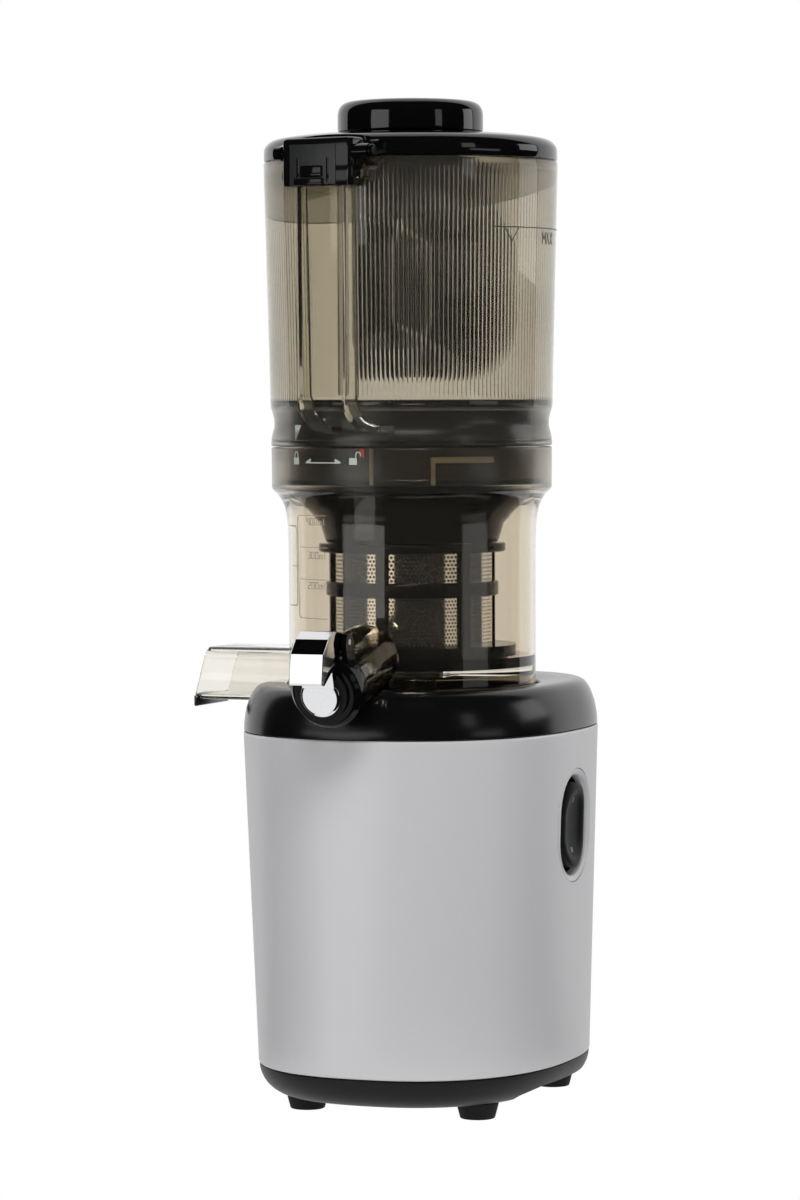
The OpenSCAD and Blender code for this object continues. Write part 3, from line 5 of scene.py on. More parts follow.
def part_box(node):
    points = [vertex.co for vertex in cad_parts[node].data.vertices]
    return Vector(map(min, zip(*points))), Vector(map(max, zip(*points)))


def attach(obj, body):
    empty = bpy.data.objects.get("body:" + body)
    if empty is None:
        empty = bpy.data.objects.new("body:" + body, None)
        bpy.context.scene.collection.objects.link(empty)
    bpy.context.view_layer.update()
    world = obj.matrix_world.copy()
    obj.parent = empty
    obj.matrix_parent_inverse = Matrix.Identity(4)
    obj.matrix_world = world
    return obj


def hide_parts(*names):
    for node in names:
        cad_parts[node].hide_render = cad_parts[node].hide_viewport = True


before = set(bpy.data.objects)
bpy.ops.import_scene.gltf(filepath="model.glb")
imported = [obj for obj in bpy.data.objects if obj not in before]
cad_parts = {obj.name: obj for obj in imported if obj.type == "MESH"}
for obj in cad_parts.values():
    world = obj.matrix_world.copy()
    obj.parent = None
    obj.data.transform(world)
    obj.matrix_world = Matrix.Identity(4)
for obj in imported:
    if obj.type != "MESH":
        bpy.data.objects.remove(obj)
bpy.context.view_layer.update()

# Worktop and studio. A plain white sweep under and behind the juicer, with two upright
# softboxes at each side, one further round on the switch side and one above. The lens is long
# and sits level with the middle of the hopper, turned a little towards the switch side.
cap_low, cap_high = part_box("pusher_cap")
AXIS = Vector(((cap_low[0] + cap_high[0]) / 2, (cap_low[1] + cap_high[1]) / 2, 0))
MM = 0.001
view_turn = 21.4


def linear(hex_text):
    """sRGB hex colour to linear, as the shader sockets want it."""
    values = [int(hex_text[i:i + 2], 16) / 255 for i in (0, 2, 4)]
    return [v / 12.92 if v <= 0.04045 else ((v + 0.055) / 1.055) ** 2.4 for v in values] + [1.0]


def add(mat, kind, inputs=None, **settings):
    """Adds a node with its settings; an input is a value or a (node, output) pair."""
    node = mat.node_tree.nodes.new(kind)
    for name, value in settings.items():
        setattr(node, name, value)
    for name, value in (inputs or {}).items():
        if isinstance(value, tuple) and hasattr(value[0], "outputs"):
            mat.node_tree.links.new(value[0].outputs[value[1]], node.inputs[name])
        else:
            node.inputs[name].default_value = value
    return node


def finish_of(name, **sockets):
    """A new material with one Principled shader, its constants on its own sockets."""
    mat = bpy.data.materials.new(name)
    mat.use_nodes = True
    shader = mat.node_tree.nodes["Principled BSDF"]
    for socket, value in sockets.items():
        shader.inputs[socket.replace("_", " ")].default_value = value
    return mat, shader


def placed(name, data):
    """A new object of the scene that shows a mesh, a lamp or a camera."""
    obj = bpy.data.objects.new(name, data)
    bpy.context.scene.collection.objects.link(obj)
    return obj


def plainly_seen(mat):
    """1 for rays from the camera, through clear walls and off polished surfaces, else 0."""
    rays = add(mat, "ShaderNodeLightPath")
    seen = (rays, "Is Camera Ray")
    for kind in ("Is Transmission Ray", "Is Glossy Ray"):
        seen = (add(mat, "ShaderNodeMath", {0: seen, 1: (rays, kind)}, operation="MAXIMUM"), "Value")
    return seen


def chosen(mat, share, first, second):
    """Lets a share from 0 to 1 choose between two surfaces of a material."""
    mix = add(mat, "ShaderNodeMixShader", {0: share, 1: first, 2: second})
    mat.node_tree.links.new(mix.outputs[0], mat.node_tree.nodes["Material Output"].inputs[0])


# The axis stands 12.4 px beside the middle of the frame, at a focal length of 4430 px.
turn, distance, height = math.radians(view_turn), 2.168, 0.3501
pitch, yaw, roll = math.radians(2.682), math.atan(12.4 / 4430), math.radians(0.25)
plumb = Vector((0, 0, 1))
ahead = Vector((-math.sin(turn), math.cos(turn), 0))
ahead.rotate(Matrix.Rotation(yaw, 3, "Z"))
right = ahead.cross(plumb).normalized()
look = (ahead * math.cos(pitch) - plumb * math.sin(pitch)).normalized()
up = right.cross(look)
rolled_right = right * math.cos(roll) - up * math.sin(roll)
rolled_up = up * math.cos(roll) + right * math.sin(roll)
lens = bpy.data.cameras.new("camera")
lens.lens, lens.sensor_width, lens.sensor_fit = 132.7, 36, "AUTO"
lens.clip_start, lens.clip_end = 0.1, 50
camera = placed("camera", lens)
camera.matrix_world = Matrix((rolled_right, rolled_up, -look)).transposed().to_4x4()
camera.location = AXIS + Vector((distance * math.sin(turn), -distance * math.cos(turn), height))
bpy.context.scene.camera = camera
bpy.context.scene.view_settings.view_transform = "Standard"

# The room is white where it is seen and a third as bright where it lights the juicer.
world = bpy.data.worlds.new("studio")
bpy.context.scene.world = world
world.use_nodes = True
level = add(world, "ShaderNodeMapRange", {"Value": plainly_seen(world), "To Min": 0.34, "To Max": 1.0})
room = world.node_tree.nodes["Background"]
room.inputs["Color"].default_value = (1, 1, 1, 1)
world.node_tree.links.new(level.outputs["Result"], room.inputs["Strength"])

# Matt white paper; it glows where it is seen, so that it meets the room without an edge.
floor_mesh = bpy.data.meshes.new("floor")
floor_mesh.from_pydata([(-4, -4, 0), (4, -4, 0), (4, 4, 0), (-4, 4, 0)], [], [(0, 1, 2, 3)])
placed("floor", floor_mesh)
paper, paper_shader = finish_of("white_paper_sweep", Base_Color=linear("f4f4f4"), Roughness=0.9)
paper_glow = add(paper, "ShaderNodeEmission", {"Color": (1, 1, 1, 1), "Strength": 1.0})
chosen(paper, plainly_seen(paper), (paper_shader, "BSDF"), (paper_glow, "Emission"))
floor_mesh.materials.append(paper)


def softbox(name, turn, distance, low, high, wide, glow):
    """An upright soft light so many degrees round from the camera, with its distance, lower
    and upper edge and width in metres; its face glows this much, where 1 is white."""
    light = bpy.data.lights.new(name, "AREA")
    light.shape, light.size, light.size_y = "RECTANGLE", wide, high - low
    light.energy = glow * math.pi * wide * (high - low)
    lamp = placed(name, light)
    angle = math.radians(view_turn + turn)
    lamp.location = AXIS + Vector((distance * math.sin(angle), -distance * math.cos(angle), (low + high) / 2))
    lamp.rotation_euler = (math.radians(90), 0, angle)


softbox("softbox_left_low", -46, 1.6, 0.02, 0.27, 1.2, 1.5)
softbox("softbox_left_high", -49, 1.6, 0.4, 0.95, 0.85, 1.6)
softbox("softbox_right_low", 60, 1.6, 0.02, 0.3, 0.75, 0.9)
softbox("softbox_right_high", 45, 1.6, 0.45, 0.95, 0.3, 1.0)
softbox("softbox_side", 104, 1.5, 0.4, 0.95, 0.6, 1.9)
light = bpy.data.lights.new("softbox_above", "AREA")
light.shape, light.size, light.size_y, light.energy = "RECTANGLE", 1.2, 0.7, 44
lamp = placed("softbox_above", light)
lamp.visible_glossy = False
lamp.location = AXIS + Vector((0.6, -1.5, 1.9))
aim = AXIS + Vector((0, 0, 0.25)) - lamp.location
lamp.rotation_euler = aim.to_track_quat("-Z", "Y").to_euler()

# Black velvet hung in a dome behind the camera and laid on the table, but for a gap there
# whose white shows in the polished disc of the spout. Only polished surfaces mirror it.
velvet_reach, columns, gap = 3.2, 48, (13, 14, 15, 16)
hung = [(0.17, 0.001), (velvet_reach, 0.001)]
for step in range(13):
    lift = math.radians(7.5 * step)
    hung.append((velvet_reach * math.cos(lift), 0.05 + velvet_reach * math.sin(lift)))
verts, faces = [], []
for reach, height in hung:
    for i in range(columns + 1):
        angle = math.radians(view_turn - 118 + 236 * i / columns)
        verts.append(AXIS + Vector((reach * math.sin(angle), -reach * math.cos(angle), height)))
for row in range(len(hung) - 1):
    for i in range(columns):
        if row or i not in gap:
            a = row * (columns + 1) + i
            faces.append((a, a + 1, a + columns + 2, a + columns + 1))
velvet_mesh = bpy.data.meshes.new("black_velvet")
velvet_mesh.from_pydata(verts, [], faces)
velvet = placed("black_velvet", velvet_mesh)
for kind in ("camera", "diffuse", "volume_scatter", "shadow"):
    setattr(velvet, "visible_" + kind, False)
cloth, shader = finish_of("black_velvet", Base_Color=linear("101010"), Roughness=1.0, Specular_IOR_Level=0.0)
rays, clear = add(cloth, "ShaderNodeLightPath"), add(cloth, "ShaderNodeBsdfTransparent")
mirrored = add(cloth, "ShaderNodeMath", {0: (rays, "Glossy Depth"), 1: 0.5}, operation="GREATER_THAN")
chosen(cloth, (mirrored, "Value"), (clear, "BSDF"), (shader, "BSDF"))
velvet_mesh.materials.append(cloth)


# Rubber feet. Four moulded rubber pads, pressed by a stem into holes in the tray floor.
# They taper towards the table and have a small rounded edge, dull and slightly dusty.
def rounded(points, steps=6, closed=True):
    """A polygon whose points may carry a corner radius as third number."""
    out, n = [], len(points)
    for i, p in enumerate(points):
        here, radius = Vector(p[:2]), p[2] if len(p) > 2 else 0
        if not radius or (not closed and i in (0, n - 1)):
            out.append((here.x, here.y))
            continue
        a, b = Vector(points[i - 1][:2]) - here, Vector(points[(i + 1) % n][:2]) - here
        half = a.angle(b) / 2
        back = min(radius / math.tan(half), 0.49 * a.length, 0.49 * b.length)
        a.normalize(), b.normalize()
        centre = here + (a + b).normalized() * (back / math.cos(half))
        start, end = here + a * back - centre, here + b * back - centre
        sweep = math.pi - 2 * half
        for k in range(steps + 1):
            t = k / steps
            v = centre + (start * math.sin((1 - t) * sweep) + end * math.sin(t * sweep)) / math.sin(sweep)
            out.append((v.x, v.y))
    return out


def turned(profile, steps=160, closed=True, middle=(0, 0)):
    """Turns a profile of (radius, height) points, in millimetres, around an upright axis."""
    n, verts, faces = len(profile), [], []
    for i in range(steps):
        c, s = math.cos(2 * math.pi * i / steps), math.sin(2 * math.pi * i / steps)
        verts += [(middle[0] + r * c, middle[1] + r * s, z) for r, z in profile]
        j = (i + 1) % steps
        for k in range(n if closed else n - 1):
            m = (k + 1) % n
            faces.append((i * n + k, j * n + k, j * n + m, i * n + m))
    return verts, faces


def joined(*shapes):
    """Several shapes as one list of points and faces."""
    verts, faces = [], []
    for v, f in shapes:
        faces += [tuple(i + len(verts) for i in face) for face in f]
        verts += v
    return verts, faces


def meshed(name, shape, where=None):
    """A mesh from a shape in millimetres from the bowl axis, with doubled points merged."""
    mesh = bpy.data.meshes.new(name)
    move = where or Matrix.Identity(4)
    mesh.from_pydata([AXIS + (move @ Vector(v)) * MM for v in shape[0]], [], shape[1])
    work = bmesh.new()
    work.from_mesh(mesh)
    bmesh.ops.remove_doubles(work, verts=work.verts, dist=MM / 1000)
    bmesh.ops.recalc_face_normals(work, faces=work.faces)
    work.to_mesh(mesh)
    work.free()
    return mesh


def smoothed(mesh, crease):
    """Shades a mesh smooth, apart from edges that turn more than so many degrees."""
    mesh.shade_smooth()
    mesh.set_sharp_from_angle(angle=math.radians(crease))


def piece(name, shape, mat, body, nodes=(), where=None, crease=35):
    """A piece that rides on a body and stands for CAD nodes, which it hides, if any are given."""
    obj = placed(name, meshed(name, shape, where))
    obj.data.materials.append(mat)
    smoothed(obj.data, crease)
    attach(obj, body)
    if nodes:
        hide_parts(*nodes)
    return obj


def mottle(mat, shader, scale_mm, low, high, rough_low, rough_high, bump=0.0, detail=3.0):
    """Fine uneven colour and sheen at a grain size in millimetres, and relief up to 0.1 mm."""
    place = add(mat, "ShaderNodeTexCoord")
    grain = add(mat, "ShaderNodeTexNoise", {"Vector": (place, "Object"), "Scale": 1 / (scale_mm * MM),
                                            "Detail": detail, "Roughness": 0.6})
    tone = add(mat, "ShaderNodeMix", {0: (grain, "Fac"), 6: linear(low), 7: linear(high)}, data_type="RGBA")
    sheen = add(mat, "ShaderNodeMapRange", {"Value": (grain, "Fac"), "From Min": 0.3, "From Max": 0.7,
                                            "To Min": rough_low, "To Max": rough_high})
    links = mat.node_tree.links
    links.new(tone.outputs[2], shader.inputs["Base Color"])
    links.new(sheen.outputs["Result"], shader.inputs["Roughness"])
    if bump:
        relief = add(mat, "ShaderNodeBump", {"Height": (grain, "Fac"), "Strength": bump, "Distance": 0.1 * MM})
        links.new(relief.outputs["Normal"], shader.inputs["Normal"])


# Rubber from a dull mould: a soft dark grey without a clear highlight.
rubber, shader = finish_of("moulded_black_rubber", Specular_IOR_Level=0.3)
mottle(rubber, shader, 0.6, "121212", "1d1d1c", 0.7, 0.85, bump=0.4)
foot = rounded([(0, 0), (8.4, 0, 0.8), (9.2, 3, 1), (10.5, 8.0, 0.4), (4.2, 8.0), (4.2, 11), (0, 11)],
               closed=False)
feet = [turned(foot, 64, closed=False, middle=(x, y)) for y in (-30, 78) for x in (-44.5, 44.5)]
piece("rubber_feet_moulded", joined(*feet), rubber, "base", ["rubber_feet"])


# Base tray. Injection-moulded black ABS with a fine spark-eroded texture; a dished foot under
# the silver shell, its long sides relieved so that fingers get under it, with slots for air.
def oval(inset, z, low=(76.2, 92.8, 15.6, 22.9), high=(81.3, 99.0, 12.9, 185.7), steps=288):
    """One ring of the body's squared oval at a height, drawn in by an inset. The low and high
    rows give half the width, half the depth, the middle and the height."""
    share = (z - low[3]) / (high[3] - low[3])
    w, d, back = (low[i] + (high[i] - low[i]) * share - (inset if i < 2 else 0) for i in range(3))
    ring, squareness = [], 2 / 2.4
    for i in range(steps):
        c, s = math.cos(2 * math.pi * i / steps), math.sin(2 * math.pi * i / steps)
        x, y = (math.copysign(abs(side) ** squareness, side) for side in (c, s))
        ring.append((w * x, back + d * y, z))
    return ring


def skinned(rings, loop=False):
    """A skin through rings of points; a loop joins the last to the first, else the ends close."""
    n, verts, faces = len(rings[0]), [p for ring in rings for p in ring], []
    for k in range(len(rings) if loop else len(rings) - 1):
        a, b = k * n, ((k + 1) % len(rings)) * n
        faces += [(a + i, a + (i + 1) % n, b + (i + 1) % n, b + i) for i in range(n)]
    if not loop:
        faces += [tuple(range(n)), tuple(range(len(verts) - n, len(verts)))]
    return verts, faces


def block(low, high, bevel=0.0):
    """A block between two corners; a bevel chamfers all its edges in three steps."""
    work = bmesh.new()
    bmesh.ops.create_cube(work, size=1)
    for v in work.verts:
        v.co = Vector([low[i] + (v.co[i] + 0.5) * (high[i] - low[i]) for i in range(3)])
    if bevel:
        bmesh.ops.bevel(work, geom=work.edges[:], offset=bevel, segments=3, profile=0.5, affect="EDGES")
    work.verts.ensure_lookup_table()
    shape = [tuple(v.co) for v in work.verts], [tuple(v.index for v in f.verts) for f in work.faces]
    work.free()
    return shape


def carve(obj, *shapes, where=None, crease=35, operation="DIFFERENCE"):
    """Cuts shapes out of a piece, or joins them to it, and keeps its smooth shading."""
    for shape in shapes:
        tool = placed("cutter", meshed("cutter", shape, where))
        change = obj.modifiers.new("carve", "BOOLEAN")
        change.operation, change.object, change.solver = operation, tool, "EXACT"
        bpy.context.view_layer.update()
        fresh = bpy.data.meshes.new_from_object(obj.evaluated_get(bpy.context.evaluated_depsgraph_get()))
        obj.modifiers.remove(change)
        obj.data = fresh
        bpy.data.objects.remove(tool)
        smoothed(fresh, crease)


# ABS against a spark-eroded tool: an even satin black. The real grain is about 0.1 mm, and it
# is drawn five times coarser so that it shows.
eroded_abs, shader = finish_of("spark_eroded_black_abs", Specular_IOR_Level=0.2)
mottle(eroded_abs, shader, 0.5, "0e0e0e", "171717", 0.36, 0.5, bump=0.5)
tray_rings = [oval(inset, z) for inset, z in (
    (15, 8.0), (13, 8.05), (10.6, 8.5), (8, 9.4), (5.6, 11), (3.6, 13), (2.0, 15.4), (0.9, 18), (0.35, 20.5),
    (0.3, 22.2), (0.7, 22.6), (3.2, 22.6), (3.2, 25.6), (5.0, 25.6), (5.0, 23.5), (22, 12))]
tray = piece("base_tray_moulded", skinned(tray_rings), eroded_abs, "base", ["base_tray"])
reliefs = [block((x, -27, 0), (x + 41, 68, 14.5), 2.5) for x in (-99, 58)]
slots = [block((x - 2, -9.9, 0), (x + 2, 42.1, 12.6), 1.2) for x in range(-39, 10, 8)]
carve(tray, *reliefs, *slots)


# Silver shell. One aluminium-look sleeve: ABS sprayed with metallic silver lacquer. Its flakes,
# under 0.1 mm, are drawn 0.45 mm wide so that their soft grain shows; a narrow lip is left at
# the top and at the bottom, where the black mouldings meet it.
silver, shader = finish_of("sprayed_silver_metallic_lacquer", Metallic=0.22, Specular_IOR_Level=0.4)
mottle(silver, shader, 0.45, "bababc", "c8c8ca", 0.36, 0.46, bump=0.12, detail=6)
sleeve = [(1.2, 22.95), (0.5, 23.0), (0.1, 23.4), (0.0, 24)] + [(0.0, 24 + i * 7.95) for i in range(1, 21)]
sleeve += [(0.0, 184.4), (0.1, 185.0), (0.5, 185.5), (1.0, 185.6), (2.6, 185.6), (2.6, 22.95)]
shell = piece("body_shell_sprayed", skinned([oval(i, z) for i, z in sleeve], loop=True), silver, "base",
              ["body_shell"])


# Switch. A racetrack dish let into the shell's right side carries a matt rocker with a broad
# soft border and a hollow face, tipped forward or reverse about a steel pin.
def racetrack(half_h, half_w, steps=20):
    """Outline of a straight-sided oval, standing upright along X."""
    reach = half_h - half_w
    turn = [math.pi * (k / steps - 0.5) for k in range(steps + 1)]
    side = [(reach + half_w * math.cos(a), half_w * math.sin(a)) for a in turn]
    return side + [(-x, -y) for x, y in side]


def stacked(outlines, loop=False):
    """A skin through flat outlines of equal count, given as (outline, height)."""
    return skinned([[(x, y, z) for x, y in outline] for outline, z in outlines], loop)


switch_frame = Matrix.Translation((79.84, 13.67, 139)) @ Matrix.Rotation(math.radians(91.79), 4, "Y")
carve(shell, stacked([(racetrack(28.0, 22.2), z) for z in (-20, 20)]), where=switch_frame)
dish = [(racetrack(27.9 - inset, 22.1 - inset), z) for inset, z in (
    (0.25, -3.6), (0.0, -0.9), (0.15, -0.45), (0.5, -0.3), (1.0, -0.45), (2.6, -0.95), (3.0, -1.3), (3.6, -3.4),
    (3.9, -4.9), (2.0, -4.9))]
piece("switch_dish_sprayed", stacked(dish, loop=True), silver, "base", ["switch_bezel"], where=switch_frame)
# ABS with a fine matt texture under the finger: charcoal, with no highlight to speak of.
matt_abs, shader = finish_of("matt_charcoal_abs", Specular_IOR_Level=0.25)
mottle(matt_abs, shader, 0.35, "0e1010", "141616", 0.5, 0.6, bump=0.35)
rocker_rings, rear, sunk = [], -7.2, 1.7
for inset, lift in ((0, rear), (0, -1.4), (0.25, -0.5), (0.9, 0.25), (1.9, 0.75), (3.2, 0.95), (4.4, 0.8),
                    (5.4, 0.3), (6.6, -0.35), (8.5, -0.75), (11, -1.05), (13.5, -1.2), (15.6, -1.25)):
    rocker_rings.append([(x, y, lift + 2.2 * (abs(x) / 21) ** 2.2 - (sunk if lift > rear else 0))
                         for x, y in racetrack(21 - inset, 16 - inset)])
piece("rocker_moulded", skinned(rocker_rings), matt_abs, "rocker", ["rocker_switch"], where=switch_frame, crease=60)
# Pale ink, pad-printed on the slopes of the hollow: one bar at one end and two at the other.
rocker_ink, shader = finish_of("pale_pad_print", Roughness=0.6)
mottle(rocker_ink, shader, 0.3, "8d918f", "a2a6a4", 0.5, 0.7)
bars = [block((-13.5, -0.25, -0.1), (-10.9, 0.25, 0.1)), block((11.0, -0.9, -0.1), (13.5, -0.5, 0.1)),
        block((11.0, 0.5, -0.1), (13.5, 0.9, 0.1))]
bars = [([(x, y, z - 2.12 + 0.277 * (abs(x) - 10.9)) for x, y, z in verts], faces) for verts, faces in bars]
piece("rocker_marks_printed", joined(*bars), rocker_ink, "rocker", where=switch_frame)


# Inside the base. A universal motor on rubber mounts drives two gear stages in a cast box;
# a control board stands behind it. Castings, laminations, copper and nylon gears.
def dress(mat, *names):
    """Gives CAD nodes their real finish."""
    for name in names:
        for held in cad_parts[name].material_slots:
            held.material = mat


# Pale grey skin of a casting, a little rough, with a 1 mm unevenness.
cast, shader = finish_of("die_cast_aluminium", Metallic=1.0)
mottle(cast, shader, 1.2, "8b8d90", "a3a5a8", 0.45, 0.6, bump=0.6)
dress(cast, "motor_lower_bracket", "motor_upper_bracket", "gearbox_case", "gearbox_plate")
# Half-millimetre steel sheets, stamped and stacked: dark grey, with their edges as relief.
laminated, shader = finish_of("stacked_silicon_steel", Metallic=1.0)
mottle(laminated, shader, 0.5, "5c5f63", "74777b", 0.4, 0.55, bump=0.5)
dress(laminated, "motor_stator", "motor_rotor")
# Copper wire under clear enamel: a warm brown metal with a second, smooth highlight.
copper, shader = finish_of("enamelled_copper_wire", Metallic=1.0, Coat_Weight=0.5)
mottle(copper, shader, 0.8, "a4562a", "c0703c", 0.3, 0.45, bump=1.0)
dress(copper, "motor_windings")
# Steel from the lathe: bright, with the faint marks of the tool.
turned_steel, shader = finish_of("turned_bright_steel", Metallic=1.0)
mottle(turned_steel, shader, 0.25, "b8babd", "cdcfd1", 0.2, 0.32, bump=0.25)
dress(turned_steel, "motor_shaft", "motor_bearings", "motor_pinion", "output_shaft", "output_bearing",
      "base_screws", "gearbox_screws", "intermediate_pin", "rocker_pin", "spout_cap_pin")
# Natural nylon: cream, and a little light goes into it.
nylon, shader = finish_of("moulded_natural_nylon", Subsurface_Weight=0.1, IOR=1.53)
mottle(nylon, shader, 0.7, "d9d5c6", "e6e2d5", 0.4, 0.5, bump=0.2)
dress(nylon, "intermediate_gear", "output_gear")
# Glass-fibre board under green solder mask, which is a thin glossy coat.
laminate, shader = finish_of("solder_masked_board", Coat_Weight=0.4)
mottle(laminate, shader, 1.5, "14502f", "1d6a3e", 0.3, 0.45, bump=0.2)
dress(laminate, "control_board")
dress(rubber, "motor_mounts", "shaft_seal", "cord_gland")
dress(eroded_abs, "switch_housing", "cooling_fan")


# Black top cover. Glossy moulded ABS clipped into the silver rim; its shoulders roll over to a
# flat top with a round well for the bowl, a notch for the pulp chute and a groove for the spout.
def bar(radius, low, high, steps=96):
    """A plain round bar along the upright axis, to cut with or to join."""
    return turned([(0, low), (radius, low), (radius, high), (0, high)], steps, closed=False)


# ABS from a polished tool: black with a clear but soft highlight.
cover_black, shader = finish_of("polished_black_abs", Specular_IOR_Level=0.4)
mottle(cover_black, shader, 0.9, "080808", "0d0d0d", 0.18, 0.24, bump=0.06)
shoulder = [(2.4, 182.9), (2.4, 185.9), (0.7, 185.9), (0.3, 186.2), (0.25, 187), (0.5, 190), (1.1, 193.6),
            (1.9, 197), (3.0, 200.2), (4.2, 203), (5.4, 205), (6.7, 206.6), (8.3, 207.7), (10.2, 208.35),
            (12.5, 208.5)]
well = [(63.2, 208.5), (62.7, 208.3), (62.4, 207.8), (62.3, 207), (62.3, 197.2), (61.6, 196.5), (14.5, 196.5),
        (12.5, 197), (12, 198), (12, 201), (11.5, 201.5), (7.0, 201.5), (7.0, 193.5), (64, 193.5)]
angles = [2 * math.pi * i / 288 for i in range(288)]
well_rings = [[(r * math.cos(a), r * math.sin(a), z) for a in angles] for r, z in well]
cover_rings = [oval(i, z) for i, z in shoulder] + well_rings + [oval(6.0, 193.5), oval(5.2, 182.9)]
cover = piece("top_cover_moulded", skinned(cover_rings, loop=True), cover_black, "base", ["top_cover"])
spout_frame = Matrix.Translation((0, -60.7, 223.8)) @ Matrix.Rotation(math.radians(105), 4, "X")
carve(cover, bar(17.3, -16, 60, 128), where=spout_frame)
carve(cover, block((-99, -22.8, 194.2), (-45, 22.8, 230), 2.0))


# Clear bowl. Smoke-tinted copolyester, injection-moulded in one piece with the spout tube, the
# floor with its drive hub, and a wider lock ring that takes the hopper's bayonet lugs.
def eased(points, per=6):
    """A smooth curve through points of a profile."""
    out = []
    for i in range(len(points) - 1):
        p = [Vector(points[max(0, min(len(points) - 1, i + k))]) for k in (-1, 0, 1, 2)]
        for s in range(per):
            t = s / per
            v = 0.5 * ((2 * p[1]) + (p[2] - p[0]) * t + (2 * p[0] - 5 * p[1] + 4 * p[2] - p[3]) * t * t
                       + (3 * p[1] - p[0] - 3 * p[2] + p[3]) * t ** 3)
            out.append((v.x, v.y))
    return out + [tuple(points[-1])]


def smoke(name, tint, deep, rough=0.03, clear=0.993, satin=None):
    """Clear tinted copolyester from a polished tool, with faint flow lines about 45 mm long,
    and a satin tool surface between the two heights given, if any."""
    mat, shader = finish_of(name, Transmission_Weight=clear, IOR=1.4)
    place = add(mat, "ShaderNodeTexCoord")
    flow = add(mat, "ShaderNodeTexNoise", {"Vector": (place, "Object"), "Scale": 22.0, "Detail": 2.0})
    tone = add(mat, "ShaderNodeMix", {0: (flow, "Fac"), 6: linear(tint), 7: linear(deep)}, data_type="RGBA")
    mat.node_tree.links.new(tone.outputs[2], shader.inputs["Base Color"])
    polish = add(mat, "ShaderNodeMapRange", {"Value": (flow, "Fac"), "To Min": rough, "To Max": rough + 0.01})
    sheen = (polish, "Result")
    if satin:
        low, high = satin
        heights = add(mat, "ShaderNodeSeparateXYZ", {0: (place, "Object")})
        band = add(mat, "ShaderNodeMath", {0: (heights, "Z"), 1: (low + high) / 2 * MM, 2: (high - low) / 2 * MM},
                   operation="COMPARE")
        sheen = (add(mat, "ShaderNodeMath", {0: (band, 0), 1: 0.2, 2: sheen}, operation="MULTIPLY_ADD"), 0)
    mat.node_tree.links.new(sheen[0].outputs[sheen[1]], shader.inputs["Roughness"])
    return mat


# Painted shade: the skirt under the floor, down in the cover's well, and the root of the spout tube are
# seen through two or more thick walls and are painted darker, a browner grey below or beyond these lines, in mm.
bowl_clear = smoke("smoke_tinted_copolyester_bowl", "ebe4d8", "e4dccd", satin=(303.5, 324))
skirt_top, tube_top, wall_radius, fade = 214.0, 244.0, 62.0, 0.5
place = add(bowl_clear, "ShaderNodeTexCoord")
from_axis = add(bowl_clear, "ShaderNodeVectorMath", {0: (place, "Object"), 1: tuple(AXIS)}, operation="SUBTRACT")
heights = add(bowl_clear, "ShaderNodeSeparateXYZ", {0: (from_axis, "Vector")})
level_part = add(bowl_clear, "ShaderNodeVectorMath", {0: (from_axis, "Vector"), 1: (1, 1, 0)},
                 operation="MULTIPLY")
off_axis = add(bowl_clear, "ShaderNodeVectorMath", {0: (level_part, "Vector")}, operation="LENGTH")
shares = []
for source, edge, before in (((off_axis, "Value"), wall_radius, 0.0), ((heights, "Z"), skirt_top, 1.0),
                             ((heights, "Z"), tube_top, 1.0)):
    shares.append(add(bowl_clear, "ShaderNodeMapRange", {
        "Value": source, "From Min": (edge - fade) * MM, "From Max": (edge + fade) * MM, "To Min": before,
        "To Max": 1.0 - before}))
in_tube, in_skirt, under_tube = ((share, "Result") for share in shares)
tube_root = add(bowl_clear, "ShaderNodeMath", {0: in_tube, 1: under_tube}, operation="MULTIPLY")
painted_shade_share = add(bowl_clear, "ShaderNodeMath", {0: (tube_root, 0), 1: in_skirt}, operation="MAXIMUM")
bowl_shader = bowl_clear.node_tree.nodes["Principled BSDF"]
wall_tone = bowl_shader.inputs["Base Color"].links[0].from_node
# Painted shade: below the skirt line and at the tube's root, the smoke's colour turns to the browner dark grey
# a29884.
painted_shade_tone = add(bowl_clear, "ShaderNodeMix", {0: (painted_shade_share, 0), 6: (wall_tone, 2), 7: linear("a29884")},
                data_type="RGBA")
bowl_clear.node_tree.links.new(painted_shade_tone.outputs[2], bowl_shader.inputs["Base Color"])
barrel = eased([(60.5, 209), (60.5, 246), (60.6, 275), (61.0, 286), (61.5, 290.6), (62.7, 295.5), (65.4, 300.4),
                (67.9, 302.9)], 5)
lock_ring = rounded([(68.15, 303.2), (68.5, 304.4), (68.65, 323.6, 0.5), (67.1, 323.8, 0.3), (66.9, 305.7, 0.5),
                     (62.0, 305.6, 1.5)], closed=False)
inner_side = eased([(60.6, 300.5), (59.4, 295.5), (58.6, 289), (58.2, 280), (58.1, 250), (58.1, 222)], 4)
bowl_floor = rounded([(58.1, 216.4, 2.5), (16.2, 216.4, 0.4), (16, 217.3, 0.3), (13, 217.3, 0.3),
                      (13, 213.4, 0.3), (58.1, 213.4, 1.0), (58.1, 196.9)], closed=False)[1:]
bowl_side = [(60.7, 196.9)] + barrel + lock_ring + inner_side + bowl_floor
bowl = piece("bowl_moulded", turned(bowl_side, 224), bowl_clear, "bowl", ["bowl"], crease=30)
carve(bowl, bar(16, -1.5, 52.2), where=spout_frame, operation="UNION", crease=30)
carve(bowl, bar(13.8, -12, 60), where=spout_frame, crease=30)


